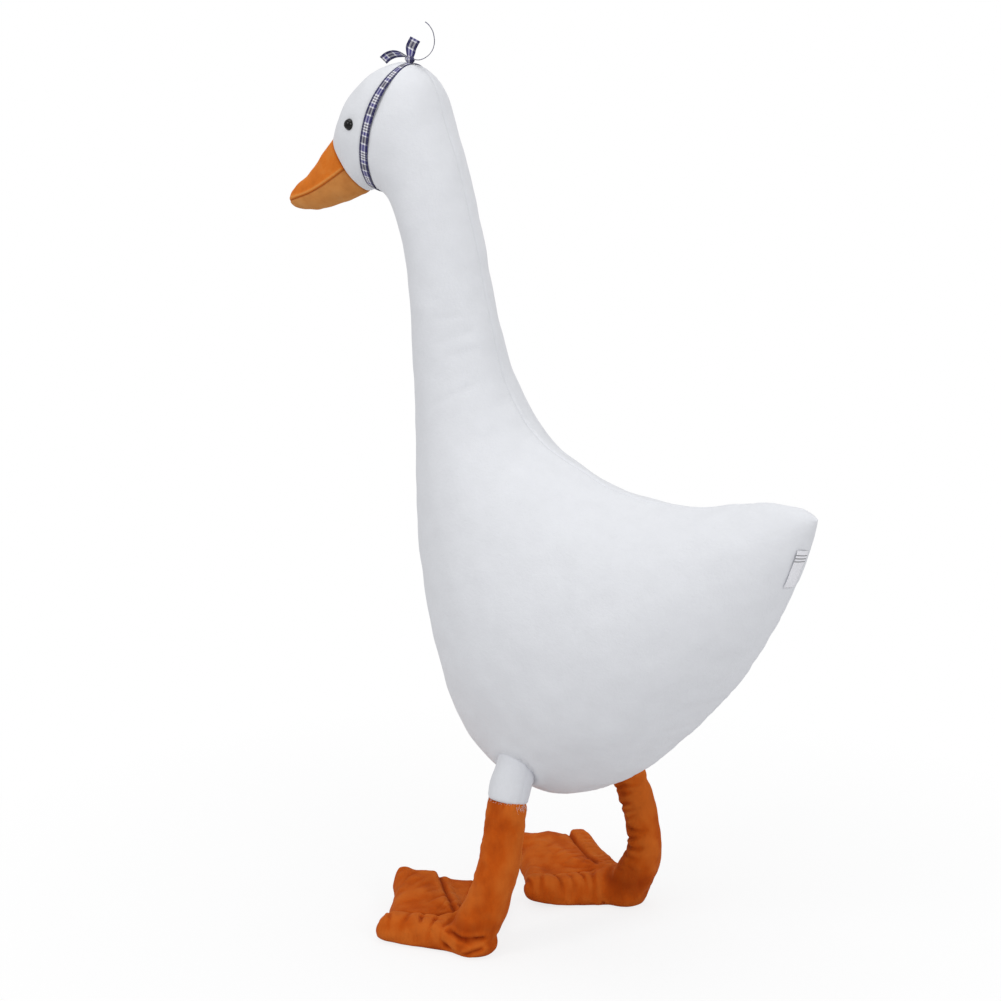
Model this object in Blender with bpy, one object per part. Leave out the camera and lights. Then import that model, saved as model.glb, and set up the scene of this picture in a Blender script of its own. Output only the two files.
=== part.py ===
"""Plush goose: a tall soft toy that stands on two webbed velvet feet.

Its head looks to -X, its tail points to +X and its own left side is -Y. Z is up and the soles
stand on Z = 0. The tables below are in millimetres and degrees; the meshes are in metres.
"""

import math

import bmesh
import bpy
import numpy as np
from mathutils import Matrix, Vector

MM = 0.001
FULL_TURN = 360.0
HALF_TURN = 180.0
# Space left between pieces that meet
GAP = 0.3
# Parts of a slice and degrees between the points that a direction on a surface is read from
READ_STEP = 0.02
READ_LEAN = 2.0
# Edges that turn more than this many degrees stay sharp to the eye
SHARP_TURN = 40.0

# White plush skin, cut as two halves and sewn down the middle
PLUSH_THICK = 3.0
# Slices of the body from the beak base over the head and neck to the tail: X and Z of the front
# or under point, X and Z of the back or top point, half width, and how pinched the sewn edge is
BODY_SLICES = (
    (-179.5, 746, -216, 789.5, 20, 1.0),
    (-172.5, 742, -198.5, 815.5, 36.5, 1.0),
    (-161.5, 740, -170.5, 848, 44.5, 1.0),
    (-148.5, 736, -129, 866, 47.5, 1.0),
    (-135, 725, -95, 852, 46.5, 1.0),
    (-123, 703.5, -76.5, 806.5, 44.5, 1.0),
    (-115, 666.5, -60.5, 761, 43.5, 1.0),
    (-110, 615, -42.5, 698.5, 43.5, 1.0),
    (-107, 558.5, -25.5, 626, 46.5, 1.0),
    (-103, 496, -7, 564.5, 54.5, 1.0),
    (-97, 422.5, 17, 521, 70.5, 1.05),
    (-82, 339.5, 41.5, 499, 88.5, 1.1),
    (-59.5, 266, 64.5, 486, 104, 1.12),
    (-33.5, 200.5, 88.5, 475, 112, 1.15),
    (6, 159, 115, 465, 116, 1.15),
    (76.5, 143, 142, 459.5, 114, 1.15),
    (156, 178.5, 174.5, 456.5, 105, 1.18),
    (223, 242, 212.5, 457.5, 85.5, 1.2),
    (281, 313.5, 253, 463.5, 58.5, 1.25),
    (320.5, 388, 294.5, 470, 32.5, 1.25),
    (336.5, 428.5, 323.5, 472, 17, 1.2),
    (344, 454.5, 338.5, 469, 7, 1.1),
)
# How far the tail's point sticks out beyond the last slice
TAIL_REACH = 5.5
# The body leans this far over its right leg, from the middle between the feet
TORSO_SIDE = 16.0
BODY_STEPS = 2
BODY_SIDES = 18

# Velvet beak: the same kind of slices from the head to the tip
BEAK_THICK = 2.2
BEAK_SLICES = (
    (-188.5, 730, -227, 776.5, 20.5),
    (-207, 723, -241, 759, 20),
    (-227, 717, -253, 748, 18),
    (-247, 713, -263.5, 741, 15),
    (-263.5, 713, -271.5, 734, 11),
    (-273.5, 716, -276.5, 726, 6),
)
BEAK_TIP = (-278, 720)
BEAK_STEPS = 1
BEAK_SIDES = 16
# The mouth line runs this many of the sides up from the middle of the underside
MOUTH_SIDE = 4

# Safety eye: place on the head as slice number and angle round the slice from its front point
EYE_SLICE = 2.08
EYE_ANGLE = 102.0
EYE_RADIUS = 5.5
EYE_HEIGHT = 4.6
EYE_EDGE = 1.0
STEM_RADIUS = 2.0
STEM_LENGTH = 9.0
# Room round the stem
STEM_ROOM = 0.4
WASHER_RADIUS = 6.5
WASHER_TOP = 4.8
WASHER_THICK = 1.5
# Room round and behind the washer in the filling
POCKET_ROOM = 0.4
POCKET_BEHIND = 0.5
# How far the cutters for the stem hole and the pocket reach past the plush
HOLE_PAST = 6.0
HOLE_ABOVE = 4.0
POCKET_ABOVE = 1.0
EYE_SIDES = 14
DOME_LIFTS = (0, 20, 40, 60, 78)

# Plaid ribbon: angle round the head from under the chin, slice number there and width
RIBBON_THICK = 0.7
RIBBON_GAP = 0.5
RIBBON_PATH = (
    (0, 2.35, 10.0),
    (20, 2.45, 10.0),
    (38, 2.64, 10.0),
    (56, 2.76, 10.5),
    (72, 2.84, 10.5),
    (90, 2.93, 10.5),
    (106, 3.00, 10.5),
    (120, 3.07, 10.0),
    (135, 3.15, 9.0),
    (150, 3.21, 8.0),
    (165, 3.24, 6.5),
    (180, 3.25, 6.0),
)
KNOT_CENTRE = (-121, 0, 869.3)
KNOT_RADII = (5.0, 4.5, 3.6)
KNOT_SIDES = 12
KNOT_LIFTS = (-70, -40, -10, 20, 50, 75)
# The ribbon is gathered to this share of its width where it leaves the knot
RIBBON_GATHER = 0.55
RIBBON_STEPS = 2
# Each free end of the ribbon: points of its middle line, then the direction and size of its width
RIBBON_ENDS = (
    (
        (
            (-122.1, 0, 871.1),
            (-130.2, -1, 874.6),
            (-139.2, -2, 874.6),
            (-146.3, -3, 872.1),
            (-151.3, -4, 868.1),
        ),
        (3.8, 6.3, -6.8),
        10,
    ),
    (
        (
            (-121.1, 0, 870.1),
            (-122.1, 2, 875.1),
            (-122.6, 4, 880.7),
            (-121.6, 6, 885.2),
            (-120.1, 8.1, 889.3),
        ),
        (8.9, 4.8, -5.2),
        11,
    ),
    (
        (
            (-119.1, 0, 870.1),
            (-109, 0, 869.6),
            (-99.9, 0, 873.1),
            (-93.4, 0, 879.2),
            (-90.8, 0, 887.2),
            (-92.3, 0, 896.3),
            (-96.9, 0, 902.9),
            (-101.9, 0, 906.4),
        ),
        (-5.7, 8.2, 0),
        9,
    ),
)

# Legs: white sleeve above, orange velvet sleeve below, along one line from hip to foot
SLEEVE_THICK = 2.5
LEG_SIDES = 14
# X, Y, Z and radius from inside the hip down into the foot
LEFT_LEG = (
    (61.5, -36.5, 244, 21),
    (60.5, -48.5, 211.5, 21),
    (58.5, -59.5, 181.5, 20.5),
    (55.5, -67.5, 154, 20),
    (55, -74, 124, 20.5),
    (53.5, -81, 93.5, 21),
    (47, -88.5, 57.5, 22),
    (40, -94.5, 33, 22),
    (34, -97, 14, 22),
)
RIGHT_LEG = (
    (57.5, 68.5, 244, 20),
    (66.5, 80.5, 211.5, 20),
    (77.5, 90.5, 181.5, 19),
    (87.5, 97.5, 154, 18.5),
    (99.5, 100, 124, 18),
    (108, 99, 95.5, 18),
    (112, 97, 67.5, 19),
    (105, 96.5, 39, 20.5),
    (93, 97, 14, 21.5),
)
THIGH_STEPS = 3
LEG_STEPS = 1

# Feet: ankle place, then each toe from the ankle, nearest first: direction, length and how far its
# tip is lifted off the floor
FOOT_THICK = 2.0
FOOT_CORE_GAP = 0.4
FOOT_SEAM_Z = 11.0
LEFT_ANKLE = (34, -97)
LEFT_TOES = ((194, 108, 0), (155, 160, 12), (118, 124, 9))
RIGHT_ANKLE = (87, 97)
RIGHT_TOES = ((223, 106, 0), (173, 156, 12), (143, 138, 12))
TOE_ROOT_RADIUS = 18.0
TOE_TIP_RADIUS = 14.0
TOE_ROOT_HEIGHT = 32.0
TOE_TIP_HEIGHT = 26.0
WEB_HEIGHT = 16.0
WEB_REACH = 1.08
HEEL_RADIUS = 26.0
HEEL_SHIFT = 4.0
HEEL_HEIGHT = 36.0
# The heel's own ridge fades out this far beyond the heel's outline
HEEL_FADE = 8.0
# How widely the ridges of toes and heel run into the web
RIDGE_BLEND = 2.2
# A toe lies flat over this share of its length before it lifts
LIFT_START = 0.45
# How sharply a place counts as belonging to the nearest toe
TOE_FOCUS = 12
# How far the cutter that trims the legs reaches below the sole
BELOW_SOLE = 5.0
EDGE_ROUND = 12.0
SOLE_ROUND = 5.0
FOOT_RINGS = (0.0, 0.45, 0.78, 0.94, 1.0)
TOE_FAN = (-15, -9, -5, -2, 2, 5, 9, 15)
HEEL_FAN = 9

# Care label: bare folded tape along the tail seam, on the left half
LABEL_SLICES = (19.15, 20.15)
LABEL_WIDTH = 13.0
LABEL_THICK = 0.8
LABEL_GAP = 0.5
LABEL_ANGLE = 10.0
LABEL_ROWS = 6
LABEL_COLUMNS = 5

# Colours, linear
WHITE = (0.80, 0.81, 0.83)
ORANGE = (0.46, 0.10, 0.012)
BEAK_ORANGE = (0.60, 0.20, 0.035)
BLACK = (0.01, 0.01, 0.012)
NAVY = (0.03, 0.04, 0.13)
FILLING = (0.85, 0.85, 0.84)


def clear_scene():
    for obj in list(bpy.data.objects):
        bpy.data.objects.remove(obj)


def material(name, colour, roughness):
    made = bpy.data.materials.new(name)
    made.use_nodes = True
    shader = made.node_tree.nodes["Principled BSDF"]
    shader.inputs["Base Color"].default_value = (*colour, 1.0)
    shader.inputs["Roughness"].default_value = roughness
    shader.inputs["Metallic"].default_value = 0.0
    return made


def through(rows, at):
    """Smooth curve through rows of numbers, read at a row number that may lie between two rows."""
    rows = np.asarray(rows, float)
    last = len(rows) - 1
    at = min(max(at, 0.0), float(last))
    i = min(int(at), last - 1)
    t = at - i
    p1 = rows[i]
    p2 = rows[i + 1]
    p0 = rows[i - 1] if i > 0 else 2 * p1 - p2
    p3 = rows[i + 2] if i + 2 <= last else 2 * p2 - p1
    bend = 2 * p0 - 5 * p1 + 4 * p2 - p3
    twist = 3 * p1 - p0 - 3 * p2 + p3
    return 0.5 * (2 * p1 + (p2 - p0) * t + bend * t * t + twist * t**3)


def read_between(rows, steps):
    """Smooth curve through rows with this many steps from each row to the next."""
    count = (len(rows) - 1) * steps
    return np.array([through(rows, k / steps) for k in range(count + 1)])


def unit(vector):
    return vector / np.linalg.norm(vector)


def grid_object(name, verts, faces, looks, parent, cutter=False):
    """Mesh object from points in millimetres and triangles, closed and facing out."""
    mesh = bpy.data.meshes.new(name)
    shape = bmesh.new()
    points = [shape.verts.new(Vector(p) * MM) for p in verts]
    for face in faces:
        shape.faces.new([points[i] for i in face])
    bmesh.ops.remove_doubles(shape, verts=shape.verts, dist=1e-6)
    bmesh.ops.recalc_face_normals(shape, faces=shape.faces)
    if shape.calc_volume(signed=True) < 0:
        bmesh.ops.reverse_faces(shape, faces=shape.faces)
    shape.to_mesh(mesh)
    shape.free()
    mesh.shade_smooth()
    mesh.set_sharp_from_angle(angle=math.radians(SHARP_TURN))
    obj = bpy.data.objects.new(name, mesh)
    bpy.context.scene.collection.objects.link(obj)
    obj.parent = parent
    if cutter:
        obj.hide_render = True
        obj.display_type = "WIRE"
    else:
        mesh.materials.append(looks)
    return obj


def strip_faces(a, b, c, d):
    """The quad a b c d as two triangles that always share the edge from a to c."""
    return [f for f in ((a, b, c), (a, c, d)) if len(set(f)) == 3]


def sheet(outer, inner, wrap):
    """Points and triangles of the solid between two grids of points of one shape."""
    rows, columns = outer.shape[:2]
    verts = [*outer.reshape(-1, 3), *inner.reshape(-1, 3)]
    faces = []

    def index(side, i, j):
        return side * rows * columns + i * columns + j % columns

    spans = columns if wrap else columns - 1
    for side in (0, 1):
        for i in range(rows - 1):
            for j in range(spans):
                corners = (
                    index(side, i, j),
                    index(side, i + 1, j),
                    index(side, i + 1, j + 1),
                    index(side, i, j + 1),
                )
                faces += strip_faces(*corners)
    for i in (0, rows - 1):
        for j in range(spans):
            faces += strip_faces(
                index(0, i, j), index(0, i, j + 1), index(1, i, j + 1), index(1, i, j)
            )
    if not wrap:
        for j in (0, columns - 1):
            for i in range(rows - 1):
                faces += strip_faces(
                    index(0, i, j), index(0, i + 1, j), index(1, i + 1, j), index(1, i, j)
                )
    return drop_collapsed(verts, faces)


def solid_tube(grid):
    """Points and triangles of the closed solid inside rings of points, its ends filled in."""
    rows, columns = grid.shape[:2]
    verts = [*grid.reshape(-1, 3), grid[0].mean(axis=0), grid[-1].mean(axis=0)]
    faces = []
    for i in range(rows - 1):
        for j in range(columns):
            k = (j + 1) % columns
            faces += strip_faces(
                i * columns + j, (i + 1) * columns + j, (i + 1) * columns + k, i * columns + k
            )
    for j in range(columns):
        k = (j + 1) % columns
        faces.append((rows * columns, j, k))
        faces.append((rows * columns + 1, (rows - 1) * columns + k, (rows - 1) * columns + j))
    return drop_collapsed(verts, faces)


def drop_collapsed(verts, faces):
    """Leaves out triangles whose corners fall on one another, as where a ring closes to a point."""
    keys = {}
    place = [keys.setdefault(tuple(np.round(p, 4)), n) for n, p in enumerate(verts)]
    kept = [tuple(place[i] for i in face) for face in faces]
    kept = [face for face in kept if len(set(face)) == 3]
    used = sorted({i for face in kept for i in face})
    order = {old: new for new, old in enumerate(used)}
    return [verts[i] for i in used], [tuple(order[i] for i in face) for face in kept]


def slice_point(row, angle):
    """Point of a slice at this angle from its front point, the left side being from 0 to 180."""
    front_x, front_z, back_x, back_z, half_width = row[:5]
    pinch = row[5] if len(row) > 5 else 1.0
    turn = math.radians(angle)
    reach = (1 + math.cos(turn)) / 2
    across = math.copysign(abs(math.sin(turn)) ** pinch, math.sin(turn))
    if abs(math.sin(turn)) < 1e-9:
        across = 0.0
    return np.array(
        (
            back_x + (front_x - back_x) * reach,
            -half_width * across,
            back_z + (front_z - back_z) * reach,
        )
    )


def tail_tip():
    """The slice of no size at the tail's point, straight out from the last slice."""
    front_x, front_z, back_x, back_z = BODY_SLICES[-1][:4]
    span = math.hypot(back_x - front_x, back_z - front_z)
    x = (front_x + back_x) / 2 + (back_z - front_z) / span * TAIL_REACH
    z = (front_z + back_z) / 2 - (back_x - front_x) / span * TAIL_REACH
    return x, z, x, z, 0, 1.0


def body_row(at):
    row = through((*BODY_SLICES, tail_tip()), at)
    row[4] = max(row[4], 0.0)
    return row


def beak_row(at):
    base = BODY_SLICES[0][:5]
    tip = (BEAK_TIP[0], BEAK_TIP[1], BEAK_TIP[0], BEAK_TIP[1], 0)
    row = through((base, *BEAK_SLICES, tip), at)
    row[4] = max(row[4], 0.0)
    return row


def surface_normal(row_at, last, at, angle):
    """Outward direction of a sliced surface at a slice number and an angle."""
    low = max(at - READ_STEP, 0.0)
    high = min(at + READ_STEP, last)
    lean = READ_LEAN
    along = slice_point(row_at(high), angle) - slice_point(row_at(low), angle)
    round_it = slice_point(row_at(at), angle + lean) - slice_point(row_at(at), angle - lean)
    normal = unit(np.cross(round_it, along))
    centre = slice_point(row_at(at), 0) / 2 + slice_point(row_at(at), 180) / 2
    outward = slice_point(row_at(at), angle) - centre
    return normal if normal @ outward > 0 else -normal


def sliced_surface(row_at, last, steps, sides, depth):
    """Grid of points on a sliced surface, moved inwards by this depth. Its last ring is a point."""
    count = last * steps
    grid = np.zeros((count + 1, sides, 3))
    for k in range(count + 1):
        at = k / steps
        row = row_at(at)
        centre = slice_point(row, 0) / 2 + slice_point(row, 180) / 2
        for j in range(sides):
            angle = 360 * j / sides
            point = slice_point(row, angle)
            if k == 0:
                # The first ring shrinks in its own plane, so that it stays a flat edge.
                span = np.linalg.norm(slice_point(row, 0) - centre)
                shrink = np.array((1 - depth / span, 1 - depth / row[4], 1 - depth / span))
                grid[k, j] = centre + (point - centre) * shrink
                continue
            if k == count:
                before = row_at(last - 0.5)
                middle = slice_point(before, 0) / 2 + slice_point(before, 180) / 2
                grid[k, j] = centre - unit(centre - middle) * depth
                continue
            room = min(1.0, 0.4 * row[4] / max(abs(depth), 0.1))
            grid[k, j] = point - surface_normal(row_at, last, at, angle) * depth * room
    return grid


def half_of(grid, side):
    """The half of a sliced grid on one side, with its seam edges moved half a gap off the middle."""
    sides = grid.shape[1]
    half = sides // 2
    columns = range(half + 1) if side == "left" else [k % sides for k in range(half, sides + 1)]
    part = grid[:, list(columns)].copy()
    sign = -1 if side == "left" else 1
    part[:, :, 1] = sign * np.maximum(sign * part[:, :, 1], GAP / 2)
    return part


def beak_half(grid, upper):
    """The upper or lower part of the beak grid, its edge moved half a gap off the mouth line."""
    sides = grid.shape[1]
    start = MOUTH_SIDE if upper else -MOUTH_SIDE
    count = sides - 2 * MOUTH_SIDE if upper else 2 * MOUTH_SIDE
    part = grid[:, [k % sides for k in range(start, start + count + 1)]].copy()
    for i in range(len(grid)):
        ring = grid[min(i, len(grid) - 2)]
        back = unit(ring[sides // 2] - ring[0])
        middle = (part[i, 0] + part[i, -1]) / 2
        for j in range(part.shape[1]):
            height = (part[i, j] - middle) @ back
            wanted = max(height, GAP / 2) if upper else min(height, -GAP / 2)
            part[i, j] += back * (wanted - height)
    return part


def surface_step(row_at, at, angle, move):
    """The slice number and angle reached by this small move along the surface."""
    step = READ_STEP
    lean = READ_LEAN
    along = slice_point(row_at(at + step), angle) - slice_point(row_at(at - step), angle)
    along = along / (2 * step)
    round_it = slice_point(row_at(at), angle + lean) - slice_point(row_at(at), angle - lean)
    round_it = round_it / (2 * lean)
    change = np.linalg.lstsq(np.column_stack((along, round_it)), move, rcond=None)[0]
    return at + change[0], angle + change[1]


def cut(target, cutter):
    modifier = target.modifiers.new("cut_" + cutter.name, "BOOLEAN")
    modifier.operation = "DIFFERENCE"
    modifier.solver = "EXACT"
    modifier.object = cutter


def join(target, other):
    modifier = target.modifiers.new("join_" + other.name, "BOOLEAN")
    modifier.operation = "UNION"
    modifier.solver = "EXACT"
    modifier.object = other
    other.hide_render = True
    other.display_type = "WIRE"


def turned(profile, sides):
    """Rings of a turned shape about +Z from a profile of radius and height."""
    grid = np.zeros((len(profile), sides, 3))
    for i, (radius, height) in enumerate(profile):
        for j in range(sides):
            turn = 2 * math.pi * j / sides
            grid[i, j] = (radius * math.cos(turn), radius * math.sin(turn), height)
    return grid


def leg_grid(rows, radius_change, steps):
    """Rings of points about a leg's line, its radius grown or shrunk by this much."""
    line = read_between(rows, steps)
    grid = np.zeros((len(line), LEG_SIDES, 3))
    for i, row in enumerate(line):
        before = line[max(i - 1, 0)][:3]
        after = line[min(i + 1, len(line) - 1)][:3]
        along = unit(after - before)
        side = unit(np.cross(along, (0, 1, 0)))
        other = np.cross(along, side)
        for j in range(LEG_SIDES):
            turn = 2 * math.pi * j / LEG_SIDES
            away = side * math.cos(turn) + other * math.sin(turn)
            grid[i, j] = row[:3] + away * (row[3] + radius_change)
    return grid


def toe_directions(toes):
    """Directions, in degrees, in which the foot's outline is read: close together at each toe."""
    found = [toe[0] + lean for toe in toes for lean in TOE_FAN]
    for first, second in zip(toes[:-1], toes[1:]):
        found.append((first[0] + second[0]) / 2)
    high = max(toe[0] for toe in toes) + TOE_FAN[-1]
    low = min(toe[0] for toe in toes) + TOE_FAN[0]
    rest = FULL_TURN - (high - low)
    found += [high + rest * (k + 1) / (HEEL_FAN + 1) for k in range(HEEL_FAN)]
    found = sorted(value % FULL_TURN for value in found)
    spaced = [found[0]]
    for value in found[1:]:
        if value - spaced[-1] > 1.5:
            spaced.append(value)
    return spaced


def foot_reach(toes, heel_direction, direction, grow):
    """Distance from the ankle to the foot's outline in this direction."""
    heel = HEEL_RADIUS + grow
    lean = math.radians(direction - heel_direction)
    best = HEEL_SHIFT * math.cos(lean) + math.sqrt(heel**2 - (HEEL_SHIFT * math.sin(lean)) ** 2)
    radius = TOE_TIP_RADIUS + grow
    for toe_direction, length, _ in toes:
        turn = math.radians(direction - toe_direction)
        centre = length - TOE_TIP_RADIUS
        aside = abs(centre * math.sin(turn))
        if math.cos(turn) > 0 and aside < radius:
            best = max(best, centre * math.cos(turn) + math.sqrt(radius**2 - aside**2))
    order = sorted(toes)
    for first, second in zip(order[:-1], order[1:]):
        if first[0] < direction < second[0]:
            near = (first[1] - TOE_TIP_RADIUS) * WEB_REACH + grow
            far = (second[1] - TOE_TIP_RADIUS) * WEB_REACH + grow
            whole = math.sin(math.radians(second[0] - first[0]))
            part_near = near * math.sin(math.radians(direction - first[0]))
            part_far = far * math.sin(math.radians(second[0] - direction))
            best = max(best, near * far * whole / (part_near + part_far))
    for toe_direction, length, _ in toes:
        turn = math.radians(direction - toe_direction)
        if math.cos(turn) <= 0:
            continue
        # The side of the toe, which widens towards the ankle
        wide = TOE_ROOT_RADIUS + grow
        narrow = TOE_TIP_RADIUS + grow
        centre = length - TOE_TIP_RADIUS
        slope = (wide - narrow) / centre
        side = wide / (abs(math.sin(turn)) + slope * math.cos(turn))
        if side * math.cos(turn) <= centre:
            best = max(best, side)
    return best


def foot_grids(toes, inset):
    """Top and bottom grids of a foot about its ankle, moved inwards by this much."""
    directions = toe_directions(toes)
    middle_toe = toes[1][0]
    reach = np.array([foot_reach(toes, middle_toe + HALF_TURN, d, -inset) for d in directions])
    reach = (np.roll(reach, 1) + 2 * reach + np.roll(reach, -1)) / 4
    outline = np.array(
        [
            (r * math.cos(math.radians(d)), r * math.sin(math.radians(d)))
            for d, r in zip(directions, reach)
        ]
    )
    following = np.roll(outline, -1, axis=0)
    top = np.zeros((len(FOOT_RINGS), len(directions), 3))
    bottom = np.zeros_like(top)
    for i, ring in enumerate(FOOT_RINGS):
        for j, d in enumerate(directions):
            place = outline[j] * ring
            edge = following - outline
            share = ((place - outline) * edge).sum(axis=1) / (edge * edge).sum(axis=1)
            nearest = outline + edge * np.clip(share, 0, 1)[:, None]
            inside = np.linalg.norm(place - nearest, axis=1).min() if ring < 1 else 0.0
            rounding = math.sqrt(1 - (1 - min(inside / EDGE_ROUND, 1)) ** 2)
            under = math.sqrt(1 - (1 - min(inside / SOLE_ROUND, 1)) ** 2)
            lift = toe_lift(toes, place)
            height = foot_height(toes, place) - inset
            top[i, j] = (*place, lift + FOOT_SEAM_Z + (height - FOOT_SEAM_Z) * rounding)
            bottom[i, j] = (*place, lift + inset + (FOOT_SEAM_Z - inset) * (1 - under))
    return top, bottom


def toe_lift(toes, place):
    """How far the foot is lifted off the floor at this place from the ankle."""
    away = float(np.linalg.norm(place))
    if away < 1e-6:
        return 0.0
    nearness = []
    lifts = []
    for direction, length, tip_lift in toes:
        turn = math.radians(direction)
        facing = (place[0] * math.cos(turn) + place[1] * math.sin(turn)) / away
        share = max(away / length - LIFT_START, 0.0) / (1 - LIFT_START)
        nearness.append(max(facing, 0.0) ** TOE_FOCUS)
        lifts.append(tip_lift * min(share, 1.0) ** 2)
    if max(nearness) < 1e-6:
        return 0.0
    mixed = sum(near * lift for near, lift in zip(nearness, lifts)) / sum(nearness)
    return mixed * min(1.0, 2 * max(nearness))


def foot_height(toes, place):
    """Height of the foot's upper side at this place from the ankle."""
    away = float(np.linalg.norm(place))
    ridges = [WEB_HEIGHT]
    heel = max(0.0, 1 - (away / (HEEL_RADIUS + HEEL_FADE)) ** 2)
    ridges.append(FOOT_SEAM_Z + (HEEL_HEIGHT - FOOT_SEAM_Z) * math.sqrt(heel))
    for direction, length, _ in toes:
        turn = math.radians(direction)
        forward = place[0] * math.cos(turn) + place[1] * math.sin(turn)
        aside = abs(place[1] * math.cos(turn) - place[0] * math.sin(turn))
        share = min(max(forward / (length - TOE_TIP_RADIUS), 0.0), 1.0)
        radius = TOE_ROOT_RADIUS + (TOE_TIP_RADIUS - TOE_ROOT_RADIUS) * share
        top = TOE_ROOT_HEIGHT + (TOE_TIP_HEIGHT - TOE_ROOT_HEIGHT) * share
        if forward < 0:
            aside = away
        ridge = max(0.0, 1 - (aside / radius) ** 2)
        ridges.append(FOOT_SEAM_Z + (top - FOOT_SEAM_Z) * math.sqrt(ridge))
    # A soft maximum, so that the ridges run into the web without a corner
    largest = max(ridges)
    total = sum(math.exp((value - largest) / RIDGE_BLEND) for value in ridges)
    return largest + math.log(total) * RIDGE_BLEND


def build_body(parent):
    last = len(BODY_SLICES)
    white = material("white_plush", WHITE, 0.95)
    filling = material("fibre_filling", FILLING, 0.9)
    outer = sliced_surface(body_row, last, BODY_STEPS, BODY_SIDES, 0.0)
    inner = sliced_surface(body_row, last, BODY_STEPS, BODY_SIDES, PLUSH_THICK)
    core = sliced_surface(body_row, last, BODY_STEPS, BODY_SIDES, PLUSH_THICK + GAP)
    grown = sliced_surface(body_row, last, BODY_STEPS, BODY_SIDES, -GAP)
    panels = {}
    for side in ("left", "right"):
        verts, faces = sheet(half_of(outer, side), half_of(inner, side), False)
        panels[side] = grid_object("body_panel_" + side, verts, faces, white, parent)
    stuffing = grid_object("body_stuffing", *solid_tube(core), filling, parent)
    envelope = grid_object("body_envelope", *solid_tube(grown), None, parent, cutter=True)
    return panels, stuffing, envelope


def build_beak(parent):
    last = len(BEAK_SLICES) + 1
    orange = material("beak_velvet", BEAK_ORANGE, 0.85)
    filling = material("beak_filling", FILLING, 0.9)
    outer = sliced_surface(beak_row, last, BEAK_STEPS, BEAK_SIDES, 0.0)
    inner = sliced_surface(beak_row, last, BEAK_STEPS, BEAK_SIDES, BEAK_THICK)
    core = sliced_surface(beak_row, last, BEAK_STEPS, BEAK_SIDES, BEAK_THICK + GAP)
    base = beak_row(0)
    rise = unit(np.array((base[2] - base[0], 0, base[3] - base[1])))
    forward = np.array((-rise[2], 0, rise[0]))
    for grid in (outer, inner, core):
        grid[0] += forward * GAP
    for name, upper in (("beak_upper", True), ("beak_lower", False)):
        verts, faces = sheet(beak_half(outer, upper), beak_half(inner, upper), False)
        grid_object(name, verts, faces, orange, parent)
    grid_object("beak_stuffing", *solid_tube(core), filling, parent)


def build_eyes(parent, panels, stuffing):
    black = material("eye_black", BLACK, 0.08)
    plain = material("washer_white", WHITE, 0.5)
    last = len(BODY_SLICES)
    dome = []
    for lift in DOME_LIFTS:
        turn = math.radians(lift)
        rise = EYE_EDGE + (EYE_HEIGHT - EYE_EDGE) * math.sin(turn)
        dome.append((EYE_RADIUS * math.cos(turn), rise))
    stem_hole = STEM_RADIUS + STEM_ROOM
    profile = [(STEM_RADIUS, -STEM_LENGTH), (STEM_RADIUS, GAP), (EYE_RADIUS * 0.96, GAP), *dome]
    washer = (
        (stem_hole, -WASHER_TOP),
        (WASHER_RADIUS, -WASHER_TOP),
        (WASHER_RADIUS, -WASHER_TOP - WASHER_THICK),
        (stem_hole, -WASHER_TOP - WASHER_THICK),
    )
    hole = ((stem_hole, -PLUSH_THICK - HOLE_PAST), (stem_hole, HOLE_ABOVE))
    pocket_radius = max(WASHER_RADIUS, STEM_RADIUS) + POCKET_ROOM
    pocket_depth = max(WASHER_TOP + WASHER_THICK, STEM_LENGTH) + POCKET_BEHIND
    pocket = ((pocket_radius, -pocket_depth), (pocket_radius, POCKET_ABOVE))
    for side, sign in (("left", 1), ("right", -1)):
        angle = EYE_ANGLE * sign
        place = slice_point(body_row(EYE_SLICE), angle)
        facing = Vector(surface_normal(body_row, last, EYE_SLICE, angle)).to_track_quat("Z", "Y")
        outside = solid_tube(turned(profile, EYE_SIDES))
        ring = turned(washer, EYE_SIDES)
        loop = closed_ring(np.concatenate([ring, ring[:1]]))
        through_skin = solid_tube(turned(hole, EYE_SIDES))
        space = solid_tube(turned(pocket, EYE_SIDES))
        made = [
            grid_object("eye_" + side, *outside, black, parent),
            grid_object("eye_washer_" + side, *loop, plain, parent),
            grid_object("eye_hole_" + side, *through_skin, None, parent, True),
            grid_object("eye_pocket_" + side, *space, None, parent, True),
        ]
        for obj in made:
            obj.location = Vector(place) * MM
            obj.rotation_euler = facing.to_euler()
        cut(panels[side], made[2])
        cut(stuffing, made[3])


def closed_ring(grid):
    """Points and triangles of a ring-shaped solid whose profile comes back to its first point."""
    rows, columns = grid.shape[:2]
    verts = list(grid.reshape(-1, 3))
    faces = []
    for i in range(rows - 1):
        for j in range(columns):
            k = (j + 1) % columns
            faces += strip_faces(
                i * columns + j, (i + 1) * columns + j, (i + 1) * columns + k, i * columns + k
            )
    return drop_collapsed(verts, faces)


def ribbon_strip(points, widths, faces_out):
    """Grids of both faces of a ribbon from its middle line, width vectors and face directions."""
    columns = 3
    outer = np.zeros((len(points), columns, 3))
    inner = np.zeros_like(outer)
    for i, (point, width, out) in enumerate(zip(points, widths, faces_out)):
        for j in range(columns):
            place = point + width * (j / (columns - 1) - 0.5)
            outer[i, j] = place + out * RIBBON_THICK / 2
            inner[i, j] = place - out * RIBBON_THICK / 2
    return outer, inner


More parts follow.
